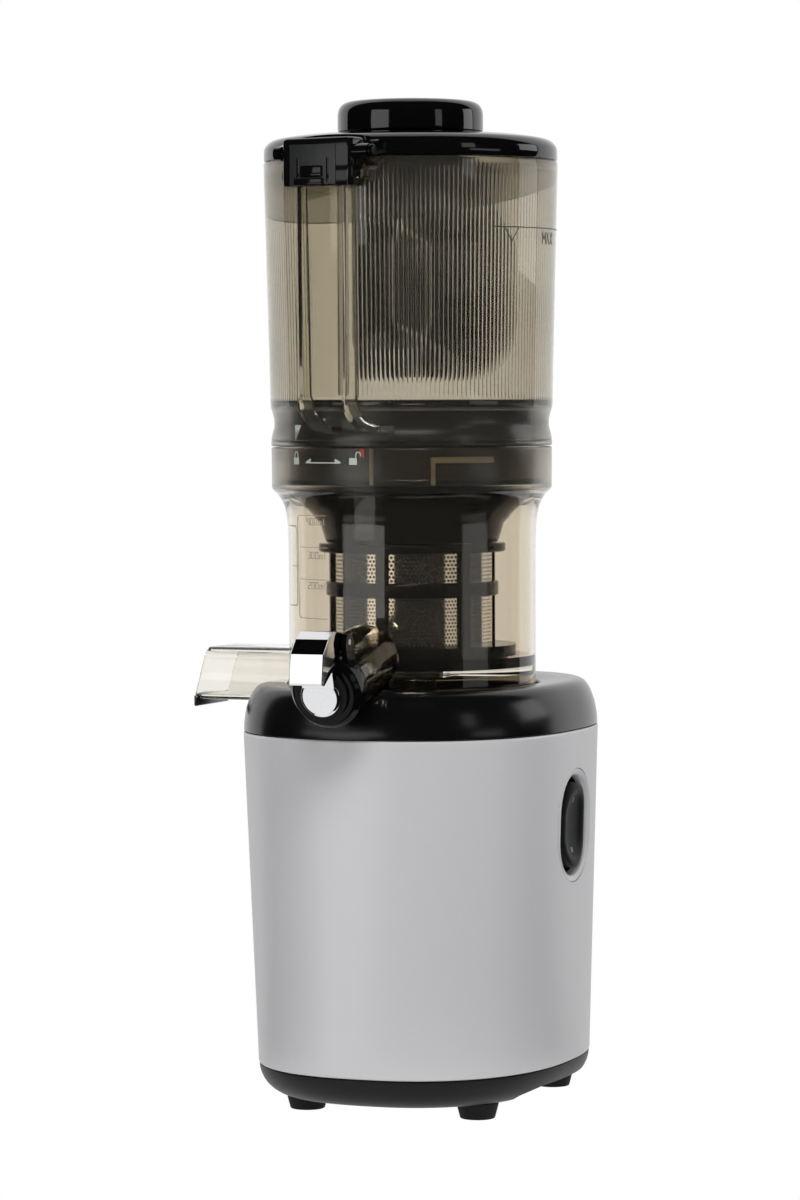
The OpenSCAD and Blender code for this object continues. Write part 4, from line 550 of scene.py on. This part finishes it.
def arc_bar(start, end, r_low, r_high, z_low, z_high, step=2):
    """A short bar that follows the ring, between two angles counted from the front."""
    count = max(2, int(abs(end - start) / step) + 1)
    verts, faces = [], []
    for r, z in ((r_low, z_low), (r_high, z_low), (r_high, z_high), (r_low, z_high)):
        for k in range(count):
            a = math.radians(start + (end - start) * k / (count - 1))
            verts.append((r * math.sin(a), -r * math.cos(a), z))
    for k in range(4):
        a, b = k * count, ((k + 1) % 4) * count
        faces += [(a + i, a + i + 1, b + i + 1, b + i) for i in range(count - 1)]
    faces += [(0, count, 2 * count, 3 * count), tuple(count - 1 + k * count for k in range(4))]
    return verts, faces


lock_ribs = []
for third in (0, 120, 240):
    lock_ribs.append(arc_bar(third + 30, third + 57, 65.0, 66.8, 316.6, 319.4))
    lock_ribs.append(arc_bar(third + 29.2, third + 31, 65.0, 66.8, 306.2, 319.4))
lock_ribs.append(arc_bar(3.9, 5.3, 65.0, 66.8, 306.2, 323.4))
# The same copolyester where the tool is frosted: dull, and darker against the light.
frosted, shader = finish_of("frosted_copolyester_ribs", Transmission_Weight=0.6, IOR=1.5)
mottle(frosted, shader, 0.5, "8f8468", "a09476", 0.35, 0.5)
piece("lock_ribs_moulded", joined(*lock_ribs), frosted, "bowl")
# Grey silicone: matt, slightly dusty, and a little light goes into it.
silicone, shader = finish_of("moulded_grey_silicone", Subsurface_Weight=0.1)
mottle(silicone, shader, 0.8, "b9b8b0", "c7c6be", 0.55, 0.65, bump=0.2)
dress(silicone, "bowl_seal", "pulp_seal")
dress(rubber, "hopper_seal")


# Pulp chute. A clear copolyester duct with rounded corners, slid over the outlet of the bowl,
# its end cut on a slant with a small black drip lip under it.
def duct_skin(outline):
    """Both ends of one skin of the duct, through an outline of (y, z) points: the root is in
    the bowl, and the free end leans out by 7 mm from top to bottom."""
    root = [(-52, y, z) for y, z in outline]
    end = [(-108 + 7 * (z - duct_low) / (duct_high - duct_low), y, z) for y, z in outline]
    return root, end


duct_low, duct_high = 198.8, 224.8
chute_clear = smoke("smoke_tinted_copolyester_chute", "f1efe9", "e8e5dc")
root_out, end_out = duct_skin(rounded([(-21.5, duct_low, 4), (21.5, duct_low, 4), (21.5, duct_high, 5),
                                       (-21.5, duct_high, 5)]))
root_in, end_in = duct_skin(rounded([(-19.5, 200.8, 2.5), (19.5, 200.8, 2.5), (19.5, 222.8, 3.5),
                                     (-19.5, 222.8, 3.5)]))
chute = piece("pulp_chute_moulded", skinned([root_out, end_out, end_in, root_in], loop=True), chute_clear,
              "bowl", ["pulp_chute"])
carve(chute, bar(60.8, 190, 230, 224))
# Black moulding with a plain polish, dark under the clear end of the duct.
lip_black, shader = finish_of("black_moulded_lip", IOR=1.5)
mottle(lip_black, shader, 0.6, "0c0c0c", "151515", 0.15, 0.25, bump=0.1)
lip = block((-109, -19.5, 195.3), (-107.2, 19.5, 200.6), 0.6)
piece("chute_lip_moulded", lip, lip_black, "bowl")


# Juice spout. A black glossy collar is pressed on the tube; over its mouth sits a chromed lever
# on a pin between two ears, with a polished disc that holds the silicone stopper.
def upright(outline, x_low, x_high):
    """A plate between two places along X, its outline given as (y, z) points."""
    verts, faces = stacked([(outline, x_low), (outline, x_high)])
    return [(x, y, z) for y, z, x in verts], faces


# Piano-polished ABS mirrors its surroundings; the collar's darker ABS mirrors them less.
gloss_black, shader = finish_of("polished_black_abs_gloss", Specular_IOR_Level=0.35)
mottle(gloss_black, shader, 1.0, "060606", "0b0b0b", 0.06, 0.1)
collar_black, shader = finish_of("moulded_black_abs", Specular_IOR_Level=0.15)
mottle(collar_black, shader, 1.0, "040404", "080808", 0.08, 0.14)
collar = [(13.0, 40.9)] + rounded([(16.4, 40.9, 0.4), (16.4, 42.0, 0.3), (17.2, 42.2, 0.3), (17.2, 43.2, 0.3),
                                   (16.7, 43.4), (16.7, 43.9), (17.7, 44.1, 0.4), (17.7, 52.2, 1.6),
                                   (15.6, 54.9, 1.6), (11.6, 54.9, 0.6), (11.2, 52.6), (16.1, 52.4),
                                   (16.1, 40.9)], closed=False)[1:]
piece("spout_collar_moulded", turned(collar, 128), collar_black, "bowl", ["spout_collar"], where=spout_frame)
ear = rounded([(12, 39.9), (23.0, 39.9, 4.2), (28.6, 44.4, 4.4), (23.0, 49.4, 4.2), (12, 49.4)], 8)
ears = joined(*(upright(ear, x, x + 2.6) for x in (-11.4, 8.8)))
piece("collar_ears_moulded", ears, collar_black, "bowl", where=spout_frame)
# Chromed ABS: a bright mirror. Its flat faces keep flat normals beside the small rounded edges.
chrome, shader = finish_of("chromed_abs", Metallic=1.0)
mottle(chrome, shader, 1.5, "dadcde", "e6e8ea", 0.03, 0.06)
side = rounded([(30.9, 54.4, 2.2), (29.3, 62.0, 0.8), (24.5, 69.6, 0.8), (11.0, 75.2, 1.2), (9.8, 72.0, 0.8),
                (13.2, 61.2, 1.0), (4.6, 60.9, 0.5), (4.6, 57.4, 0.3), (18.8, 57.4, 0.5), (18.9, 44.8, 2.5),
                (22.0, 41.0, 3.5), (26.6, 44.0, 3.0)])
lever = piece("cap_lever_chromed", upright(side, -8.25, 8.25), chrome, "spout_cap", ["spout_cap"],
              where=spout_frame, crease=25)
soften = lever.modifiers.new("soften", "BEVEL")
soften.width, soften.segments, soften.limit_method, soften.angle_limit = 0.7 * MM, 3, "ANGLE", math.radians(40)
soften.harden_normals = True
flat_faces = lever.modifiers.new("flat_faces", "WEIGHTED_NORMAL")
flat_faces.keep_sharp = True
disc = rounded([(0, 57.3), (9.4, 57.3, 0.3), (9.8, 57.9, 0.4), (9.8, 59.6, 0.6), (8.6, 60.3, 0.4), (0, 60.1)],
               closed=False)
piece("cap_disc_chromed", turned(disc, 96, closed=False), chrome, "spout_cap",
      where=spout_frame)
dress(rubber, "spout_cap_seal")


# Strainer. A glossy black cage of rings and bars, moulded round a sleeve of thin stainless
# sheet with etched holes, coarse above the middle ring and finer below it.

# Black copolyester, wet-looking but dark: it mirrors little inside the smoke of the bowl.
inner_black, shader = finish_of("moulded_black_copolyester", Specular_IOR_Level=0.12)
mottle(inner_black, shader, 1.0, "050505", "090909", 0.08, 0.14)
dress(inner_black, "strainer_frame")
# Bright rolled stainless sheet. Its holes are drawn about 2 mm apart, coarser than a fine sieve
# would have them, so that they show; they are not cut, but painted: painted shade for the charcoal auger and the
# dark inside seen through them.
sheet, shader = finish_of("etched_stainless_sheet", Metallic=1.0, Roughness=0.1)
place = add(sheet, "ShaderNodeTexCoord")
from_axis = add(sheet, "ShaderNodeVectorMath", {0: (place, "Object"), 1: tuple(AXIS)}, operation="SUBTRACT")
parts = add(sheet, "ShaderNodeSeparateXYZ", {0: (from_axis, "Vector")})
turn = add(sheet, "ShaderNodeMath", {0: (parts, "Y"), 1: (parts, "X")}, operation="ARCTAN2")
middle_ring, hole_edge = 254.5, 0.05  # a height in mm, and a share of the space of a hole


def hole_rows(holes_round, row_mm, hole_share):
    """1 in the holes of a staggered pattern with so many holes round the sleeve."""
    row = add(sheet, "ShaderNodeMath", {0: (parts, "Z"), 1: 1 / (row_mm * MM)}, operation="MULTIPLY")
    whole = add(sheet, "ShaderNodeMath", {0: (row, 0)}, operation="FLOOR")
    odd = add(sheet, "ShaderNodeMath", {0: (whole, 0), 1: 0.5}, operation="MULTIPLY")
    along = add(sheet, "ShaderNodeMath", {0: (turn, 0), 1: holes_round / (2 * math.pi), 2: (odd, 0)},
                operation="MULTIPLY_ADD")
    cell = []
    for source in (along, row):
        part = add(sheet, "ShaderNodeMath", {0: (source, 0)}, operation="FRACT")
        off = add(sheet, "ShaderNodeMath", {0: (part, 0), 1: 0.5}, operation="SUBTRACT")
        cell.append(add(sheet, "ShaderNodeMath", {0: (off, 0), 1: (off, 0)}, operation="MULTIPLY"))
    reach = add(sheet, "ShaderNodeMath", {0: (cell[0], 0), 1: (cell[1], 0)}, operation="ADD")
    return add(sheet, "ShaderNodeMapRange", {
        "Value": (reach, 0), "From Min": (hole_share - hole_edge) ** 2, "From Max": (hole_share + hole_edge) ** 2,
        "To Min": 1.0, "To Max": 0.0})


coarse = hole_rows(123, 1.9, 0.34)
fine = hole_rows(142, 1.75, 0.3)
above = add(sheet, "ShaderNodeMath", {0: (parts, "Z"), 1: middle_ring * MM}, operation="GREATER_THAN")
holes = add(sheet, "ShaderNodeMix", {0: (above, 0), 2: (fine, "Result"), 3: (coarse, "Result")},
            data_type="FLOAT")
# Painted shade: the holes take the dark brown-grey 2a2824 and no metal, for the shade inside the strainer.
steel_and_painted_hole_tone = add(sheet, "ShaderNodeMix", {0: (holes, 0), 6: linear("d9d6cf"), 7: linear("2a2824")},
           data_type="RGBA")
metal = add(sheet, "ShaderNodeMath", {0: 1.0, 1: (holes, 0)}, operation="SUBTRACT")
for source, output, socket in ((steel_and_painted_hole_tone, 2, "Base Color"), (metal, 0, "Metallic")):
    sheet.node_tree.links.new(source.outputs[output], shader.inputs[socket])
tube = [(39.15, 222.15), (39.15, 274.9), (38.45, 274.9), (38.45, 222.15)]
piece("strainer_sleeve_etched", turned(tube, 192), sheet, "bowl", ["strainer_sieve"])


# Auger. One charcoal moulding with two flights, driven by the six-sided end of the shaft; a
# hard polyetherimide, whose grey has a dry, even sheen.
charcoal, shader = finish_of("moulded_charcoal_polyetherimide", IOR=1.6)
mottle(charcoal, shader, 0.8, "1d1e20", "26272a", 0.22, 0.34, bump=0.15)
dress(charcoal, "auger")


# Feed funnel. Polished black moulding that leads the fruit down from the hopper to the auger;
# it sits on the bowl's shelf and ends in a small lip just over the strainer.
funnel_out = [(41.6, 277.45), (42.6, 278.6)] + eased(
    [(43.2, 281), (45.4, 287), (49.3, 293), (52.4, 297.4), (55.2, 301.4), (57.6, 304.2), (60.2, 307),
     (61.25, 311)], 5) + [(61.25, 325.6), (64.2, 327.4), (64.2, 342.1)]
funnel_in = [(63.2, 342.1), (63.0, 329), (59.0, 324.8), (58.9, 311.4)] + eased(
    [(57.6, 308.2), (54.4, 305.0), (51.4, 302.0), (47.6, 296.7), (43.6, 290), (40.9, 282), (39.4, 277.5)], 5)
piece("feed_funnel_moulded", turned(funnel_out + funnel_in, 192), inner_black, "hopper", ["feed_funnel"])


# Hopper. Smoke-tinted copolyester tub; fine upright ribs inside, under 1 mm deep, keep produce
# off the wall and break up the view. A hollow waist with a satin band and three bayonet lugs
# lock it to the bowl.
def ribbed(profile, ribs, per=6):
    """Turns (radius, height, rib height) points, with upright ribs standing in from the wall,
    apart from a plain strip behind the channel."""
    n, count, verts, faces = len(profile), ribs * per, [], []
    channel_at, strip = -102, 11
    for i in range(count):
        angle = 2 * math.pi * i / count
        plain = abs((math.degrees(angle) - channel_at + 180) % 360 - 180) < strip
        bulge = 0 if plain else (0.5 + 0.5 * math.cos(2 * math.pi * i / per)) ** 2.5
        for r, z, rib in profile:
            verts.append(((r - rib * bulge) * math.cos(angle), (r - rib * bulge) * math.sin(angle), z))
        j = (i + 1) % count
        for k in range(n):
            m = (k + 1) % n
            faces.append((i * n + k, j * n + k, j * n + m, i * n + m))
    return verts, faces


def hopper_radius(z):
    """Outer radius of the hopper wall."""
    return 69.0 + 2.9 * (z - 344.2) / 118


hopper_clear = smoke("smoke_tinted_copolyester_hopper", "d8d3c7", "d1cbbd", 0.012, 0.983, (308, 343.6))
outside = [(64.4, 324.25), (68.4, 324.3)] + eased(
    [(68.8, 325), (68.3, 329.5), (67.15, 334.2), (67.6, 339), (68.95, 343.6), (69.15, 347)], 4)
outside += [(hopper_radius(z), z) for z in (360, 400, 440, 459)]
outside += [(71.9, 461.4), (71.5, 462.1), (69.8, 462.1), (69.4, 461.5), (69.3, 458.5)]
ribs = [(69.25, 456.5), (68.3, 420), (67.4, 384), (66.7, 350)]
inside = [(66.5, 347), (66.2, 344.8), (64.7, 343.4), (64.5, 327.3), (61.6, 326.3), (61.5, 308.6), (61.9, 308.4),
          (63.7, 308.4), (64.0, 308.8), (64.0, 323.8)]
wall = [(r, z, 0) for r, z in outside] + [(r, z, 0.9) for r, z in ribs] + [(r, z, 0) for r, z in inside]
piece("hopper_moulded", ribbed(wall, 190), hopper_clear, "hopper", ["hopper"], crease=70)
lugs = [arc_bar(at - 7, at + 7, 63.8, 66.5, 311.7, 315.6, step=1) for at in (35, 155, 275)]
piece("bayonet_lugs_moulded", joined(*lugs), hopper_clear, "hopper")


# Channel and hinge block. A clear channel runs down the front of the hopper and guides the
# interlock rod; a glossy black block is snapped over its top and carries the steel hinge pin.
channel_clear = smoke("smoke_tinted_copolyester_channel", "faf7f0", "f5f1e8")
dress(channel_clear, "hopper_channel")
rod_clear = smoke("frosted_copolyester_rod", "dcd9d0", "d2cec3", rough=0.2)
dress(rod_clear, "interlock_rod")
# The hinge and the channel stand 12 degrees round from the front, towards the chute.
hinge_frame = Matrix.Rotation(math.radians(-12), 4, "Z")
plan = rounded([(-19.6, -82.3, 2.6), (20.5, -82.3, 2.4), (20.5, -71.2, 0.3), (-19.6, -71.2, 0.3)], 8)


def drawn_in(outline, inset, middle):
    """An outline drawn in evenly towards a middle point."""
    out = []
    for point in outline:
        away = [p - m for p, m in zip(point, middle)]
        out.append(tuple(p - math.copysign(min(inset, abs(a)), a) for p, a in zip(point, away)))
    return out


levels = [(1.2, 447.9), (0.35, 448.25), (0, 449.1), (0, 469.3), (0.3, 470.2), (1.0, 470.75), (2.0, 470.9)]
shell_of_block = stacked([(drawn_in(plan, inset, (0, -76.5)), z) for inset, z in levels])
hinge_block = piece("hinge_block_moulded", shell_of_block, gloss_black, "hopper", ["hinge_block"],
                    where=hinge_frame)
carve(hinge_block, block((-14.3, -78.2, 440), (14.3, -60, 468.4)), where=hinge_frame)
carve(hinge_block, turned([(0, 430), (71.2, 430), (72.2, 463), (72.2, 480), (0, 480)], 128, closed=False))
# Steel pin, chemically blackened: dark, with a metal's highlight.
blackened, shader = finish_of("blackened_steel", Metallic=1.0)
mottle(blackened, shader, 0.4, "1e1e20", "2a2a2c", 0.3, 0.4, bump=0.2)
pin_side = [(0, -24.9), (1.6, -24.9), (2, -24.5), (2, 29.6)] + rounded(
    [(2, 29.6), (3.1, 29.6, 0.3), (3.1, 31.6, 1.1), (0, 31.7)], closed=False)[1:]
pin_frame = hinge_frame @ Matrix.Translation((0, -79, 463.9)) @ Matrix.Rotation(math.radians(90), 4, "Y")
piece("hinge_pin_turned", turned(pin_side, 48, closed=False), blackened, "hopper", ["hinge_pin"],
      where=pin_frame)
# The face plate has a satin texture, a shade lighter than the polish round it.
satin_face, shader = finish_of("satin_black_abs", IOR=1.5)
mottle(satin_face, shader, 0.4, "1a1b1b", "222323", 0.34, 0.44, bump=0.2)
face = block((-14.4, -82.6, 448.6), (12.0, -82.0, 467.8), 0.25)
piece("hinge_face_plate_moulded", face, satin_face, "hopper", where=hinge_frame)
press_pad = [block((-7.9, -83.4, 452.2), (4.6, -82.4, 457.6), 0.9),
             block((-11.6, -84.1, 448.2), (5.1, -82.4, 451.8), 0.7),
             block((-10.4, -82.66, 451.0), (-8.8, -82.4, 461.2), 0.1),
             block((6.6, -82.66, 449.6), (8.2, -82.4, 461.2), 0.1)]
piece("press_pad_moulded", joined(*press_pad), gloss_black, "hopper", where=hinge_frame)
wedge = rounded([(-71.0, 450.6, 0.4), (-74.8, 451.8, 0.8), (-74.8, 455.4, 0.6), (-71.0, 457.4, 0.3)], 4)
wedges = [upright(wedge, near, far) for near, far in ((-24.2, -20.9), (20.9, 29.7))]
piece("hinge_ears_moulded", joined(*wedges), hopper_clear, "hopper", where=hinge_frame)


# Lid. Polished black moulding with a rolled edge, a smoke-tinted skirt cut on the slant that
# dips into the hopper, a round guide for the pusher, and two knuckles on the hinge pin.

# ABS from a mirror-finished tool: the deepest gloss on the juicer, with sharp reflections.
piano_black, shader = finish_of("high_gloss_black_abs", IOR=1.53)
mottle(piano_black, shader, 1.2, "050505", "090909", 0.04, 0.08)
lid_top = [(71.3, 462.6), (71.7, 463.0)] + eased(
    [(71.7, 466.8), (71.4, 469.0), (69.9, 471.2), (67.9, 472.6), (65.3, 473.4), (59, 474.5), (51, 475.3),
     (43, 475.9), (37, 476.15)], 5)
lid_low = [(33.4, 476.2), (31.2, 476.2), (30.5, 475.6), (30.5, 449.2), (31, 448.6), (32.6, 448.6), (33, 449.2),
           (33, 472.0), (50, 472.4), (64, 470.6), (68.0, 468.6), (69.0, 466.5), (69.0, 462.6)]
lid = piece("lid_moulded", turned(lid_top + lid_low, 224), piano_black, "lid", ["lid"], crease=50)
carve(lid, block((-20.9, -99, 455), (20.9, -66.6, 490)), where=hinge_frame, crease=50)
skirt_out, skirt_in, skirt_top, skirt_low, slant = 66.6, 64.2, 471.0, 444.9, 14.2
skirt = []
for r, low in ((skirt_out, False), (skirt_out, True), (skirt_in, True), (skirt_in, False)):
    ring = []
    for i in range(192):
        a = 2 * math.pi * i / 192
        x, y = r * math.sin(a), -r * math.cos(a)
        ring.append((x, y, skirt_low + slant * y / skirt_out if low else skirt_top))
    skirt.append(ring)
skirt_clear = smoke("smoke_tinted_copolyester_skirt", "c4c2ba", "bdbab1")
piece("lid_skirt_moulded", skinned(skirt, loop=True), skirt_clear, "lid", where=hinge_frame)
pin_y, pin_z, eye = -79, 463.9, 3.5
curve = [(pin_y + eye * math.cos(math.radians(a)), pin_z + eye * math.sin(math.radians(a)))
         for a in range(75, 275, 10)]
knuckle = rounded([(-62.8, 470.3), (-70, 469.6, 3)] + curve + [(-75, 460.9, 1.0), (-72.3, 462.7, 0.6),
                                                               (-62.8, 462.7)], 4)
knuckles = [upright(knuckle, near, far) for near, far in ((-24.2, -20.9), (20.9, 29.3))]
piece("lid_knuckles_moulded", joined(*knuckles), piano_black, "lid", where=hinge_frame)


# Pusher. A hollow black plunger with a rounded end, and its wide domed cap, pressed on top.
def corner(radius, z, turns):
    """The plunger's rounded lower edge: an arc about a point 10 mm off its axis."""
    return [(10 + radius * math.sin(math.radians(a)), z - radius * math.cos(math.radians(a))) for a in turns]


plunger = [(0.01, 357.2)] + corner(20, 377.2, range(0, 91, 6)) + [(30, 476.4), (27.8, 476.4)] + \
    corner(17.8, 377.4, range(90, -1, -6)) + [(0.01, 359.6)]
piece("pusher_moulded", turned(plunger, 128), piano_black, "pusher", ["pusher"])
cap_top = eased([(35.6, 485), (35.2, 487.6), (33.9, 489.9), (31.7, 491.4), (28.8, 492.0)], 5)
cap_side = [(30.2, 476.75), (34.9, 476.75), (35.5, 477.4), (35.6, 479)] + cap_top + [
    (25.5, 491.7), (18, 491.2), (0.01, 491.0), (0.01, 488.6), (27, 489.2), (32.6, 487.6), (33.2, 484),
    (33.2, 478.6), (30.2, 478.6)]
piece("pusher_cap_moulded", turned(cap_side, 160), piano_black, "pusher", ["pusher_cap"])


# Printed marks. A fill line with its arrow on the hopper, lock signs where the hopper turns on
# the bowl, and a scale of plain capacities on the bowl; no other lettering. All are pad-printed.
def printed(lines, wide, radius, thick=0.14):
    """Thin ribbons along lines of (angle in degrees from the front, height) on a round wall."""
    verts, faces = [], []
    for line in lines:
        for (a0, z0), (a1, z1) in zip(line, line[1:]):
            mean = radius((z0 + z1) / 2)
            run, rise = math.radians(a1 - a0) * mean, z1 - z0
            length = math.hypot(run, rise)
            ux, uz = run / length, rise / length
            count, start = max(1, int(abs(a1 - a0) / 2)), len(verts)
            for k in range(count + 1):
                s = length * k / count + (-wide / 2 if k == 0 else wide / 2 if k == count else 0)
                for side, lift in ((-1, -0.05), (1, -0.05), (1, thick), (-1, thick)):
                    along = s * ux - side * uz * wide / 2
                    z = z0 + s * uz + side * ux * wide / 2
                    r = radius(z) + lift
                    a = math.radians(a0) + along / mean
                    verts.append((r * math.sin(a), -r * math.cos(a), z))
            for k in range(count):
                i = start + 4 * k
                faces += [(i + q, i + (q + 1) % 4, i + 4 + (q + 1) % 4, i + 4 + q) for q in range(4)]
            faces += [tuple(range(start, start + 4)), tuple(start + 4 * count + q for q in range(4))]
    return verts, faces


glyphs = {"0": [[(0, 0), (0, 1), (0.6, 1), (0.6, 0), (0, 0)]],
          "2": [[(0, 1), (0.6, 1), (0.6, 0.5), (0, 0.5), (0, 0), (0.6, 0)]],
          "3": [[(0, 1), (0.6, 1), (0.6, 0), (0, 0)], [(0.15, 0.5), (0.6, 0.5)]],
          "4": [[(0, 1), (0, 0.45), (0.6, 0.45)], [(0.6, 1), (0.6, 0)]],
          "m": [[(0, 0), (0, 0.6), (0.7, 0.6), (0.7, 0)], [(0.35, 0.6), (0.35, 0)]],
          "l": [[(0.2, 0), (0.2, 1)]],
          "M": [[(0, 0), (0, 1), (0.35, 0.4), (0.7, 1), (0.7, 0)]],
          "A": [[(0, 0), (0.3, 1), (0.6, 0)], [(0.12, 0.33), (0.48, 0.33)]],
          "X": [[(0, 0), (0.6, 1)], [(0, 1), (0.6, 0)]]}


def lettered(text, angle, low, size, mean):
    """Stroke lettering that starts at an angle and a height on a round wall."""
    lines, at = [], 0.0
    for sign in text:
        for line in glyphs[sign]:
            lines.append([(angle + math.degrees((at + x * size) / mean), low + y * size) for x, y in line])
        at += 0.95 * size
    return lines


# Ink, thin and matt, a little uneven from the pad: dark on the hopper and pale on the waist.
dark_print, shader = finish_of("dark_pad_print", Roughness=0.5)
mottle(dark_print, shader, 0.3, "26241f", "33302a", 0.45, 0.6)
fill_line = [[(54.5, 429.0), (112, 429.0)], [(60.5, 428.6), (64.2, 422.2), (67.8, 428.6)]] + \
    lettered("MAX", 84.5, 421.6, 5.4, 71)
piece("fill_mark_printed", printed(fill_line, 0.45, hopper_radius), dark_print, "hopper")
pale_print, shader = finish_of("pale_grey_pad_print", Roughness=0.5)
mottle(pale_print, shader, 0.3, "9aa094", "a8ada1", 0.5, 0.6)


def waist_radius(z):
    """Outer radius of the hollow waist, roughly."""
    return 67.2 + 0.017 * (z - 334.2) ** 2


def ring_radius(z):
    """Outer radius of the bowl's lock ring."""
    return 68.65


pointer = [[(-35 + 0.25 * k, 334.6), (-33.4, 327.4)] for k in range(17)]
piece("lock_pointer_printed", printed(pointer, 0.35, waist_radius), pale_print, "hopper")
lock_signs = []
for at, lean in ((-32.4, 0.0), (-2.6, 2.2)):
    lock_signs += [[(at - 1.5, 316.2 + 0.45 * k), (at + 1.5, 316.2 + 0.45 * k)] for k in range(7)]
    lock_signs.append([(at + lean + x, z) for x, z in (
        (-1.0, 319.2), (-1.0, 321.0), (-0.5, 321.9), (0.5, 321.9), (1.0, 321.0), (1.0, 320.2 if lean else 319.2))])
lock_signs.append([(-26.0, 316.8), (-8.4, 316.8)])
for tip, inward in ((-26.2, 0.5), (-8.2, -0.5)):
    lock_signs += [[(tip + inward * k, 317.0), (tip + inward * k, 317.0 + 0.3 * k)] for k in range(1, 6)]
piece("lock_signs_printed", printed(lock_signs, 0.5, ring_radius), pale_print, "bowl")
red_print, shader = finish_of("red_pad_print", Roughness=0.5)
mottle(red_print, shader, 0.3, "a33327", "b03c2e", 0.45, 0.6)
red = [[(0.4 + 0.4 * k, 323.4), (0.4 + 0.4 * k, 322.6 - 0.9 * k)] for k in range(5)]
piece("lock_line_printed", printed(red, 0.35, ring_radius), red_print, "bowl")


def bowl_radius(z):
    """Outer radius of the bowl's wall, up to where it starts to flare."""
    return 60.6 + 0.000075 * max(0, z - 268) ** 3


# The scale's bracket with its four lines, and beside it a second frame without numbers.
scale = [[(-41.4, 291.2), (-42.9, 289.8), (-42.9, 242.9), (-41.4, 241.5)]]
scale += [[(-41.4, z), (-21, z)] for z in (291.2, 275.8, 260.3, 241.5)]
scale += [[(-57, 285.7), (-46.4, 285.7), (-45, 284.3), (-45, 248.5), (-46.4, 247.1), (-57, 247.1)],
          [(-52, 266.3), (-45, 266.3)]]
for height, number in ((286.6, "400ml"), (270.4, "300ml"), (255.8, "200ml")):
    scale += lettered(number, -34.5, height, 3.2, 60.6)
grey_print, shader = finish_of("grey_pad_print", Roughness=0.5)
mottle(grey_print, shader, 0.3, "8a8375", "989082", 0.5, 0.6)
piece("bowl_scale_printed", printed(scale, 0.3, bowl_radius), grey_print, "bowl")
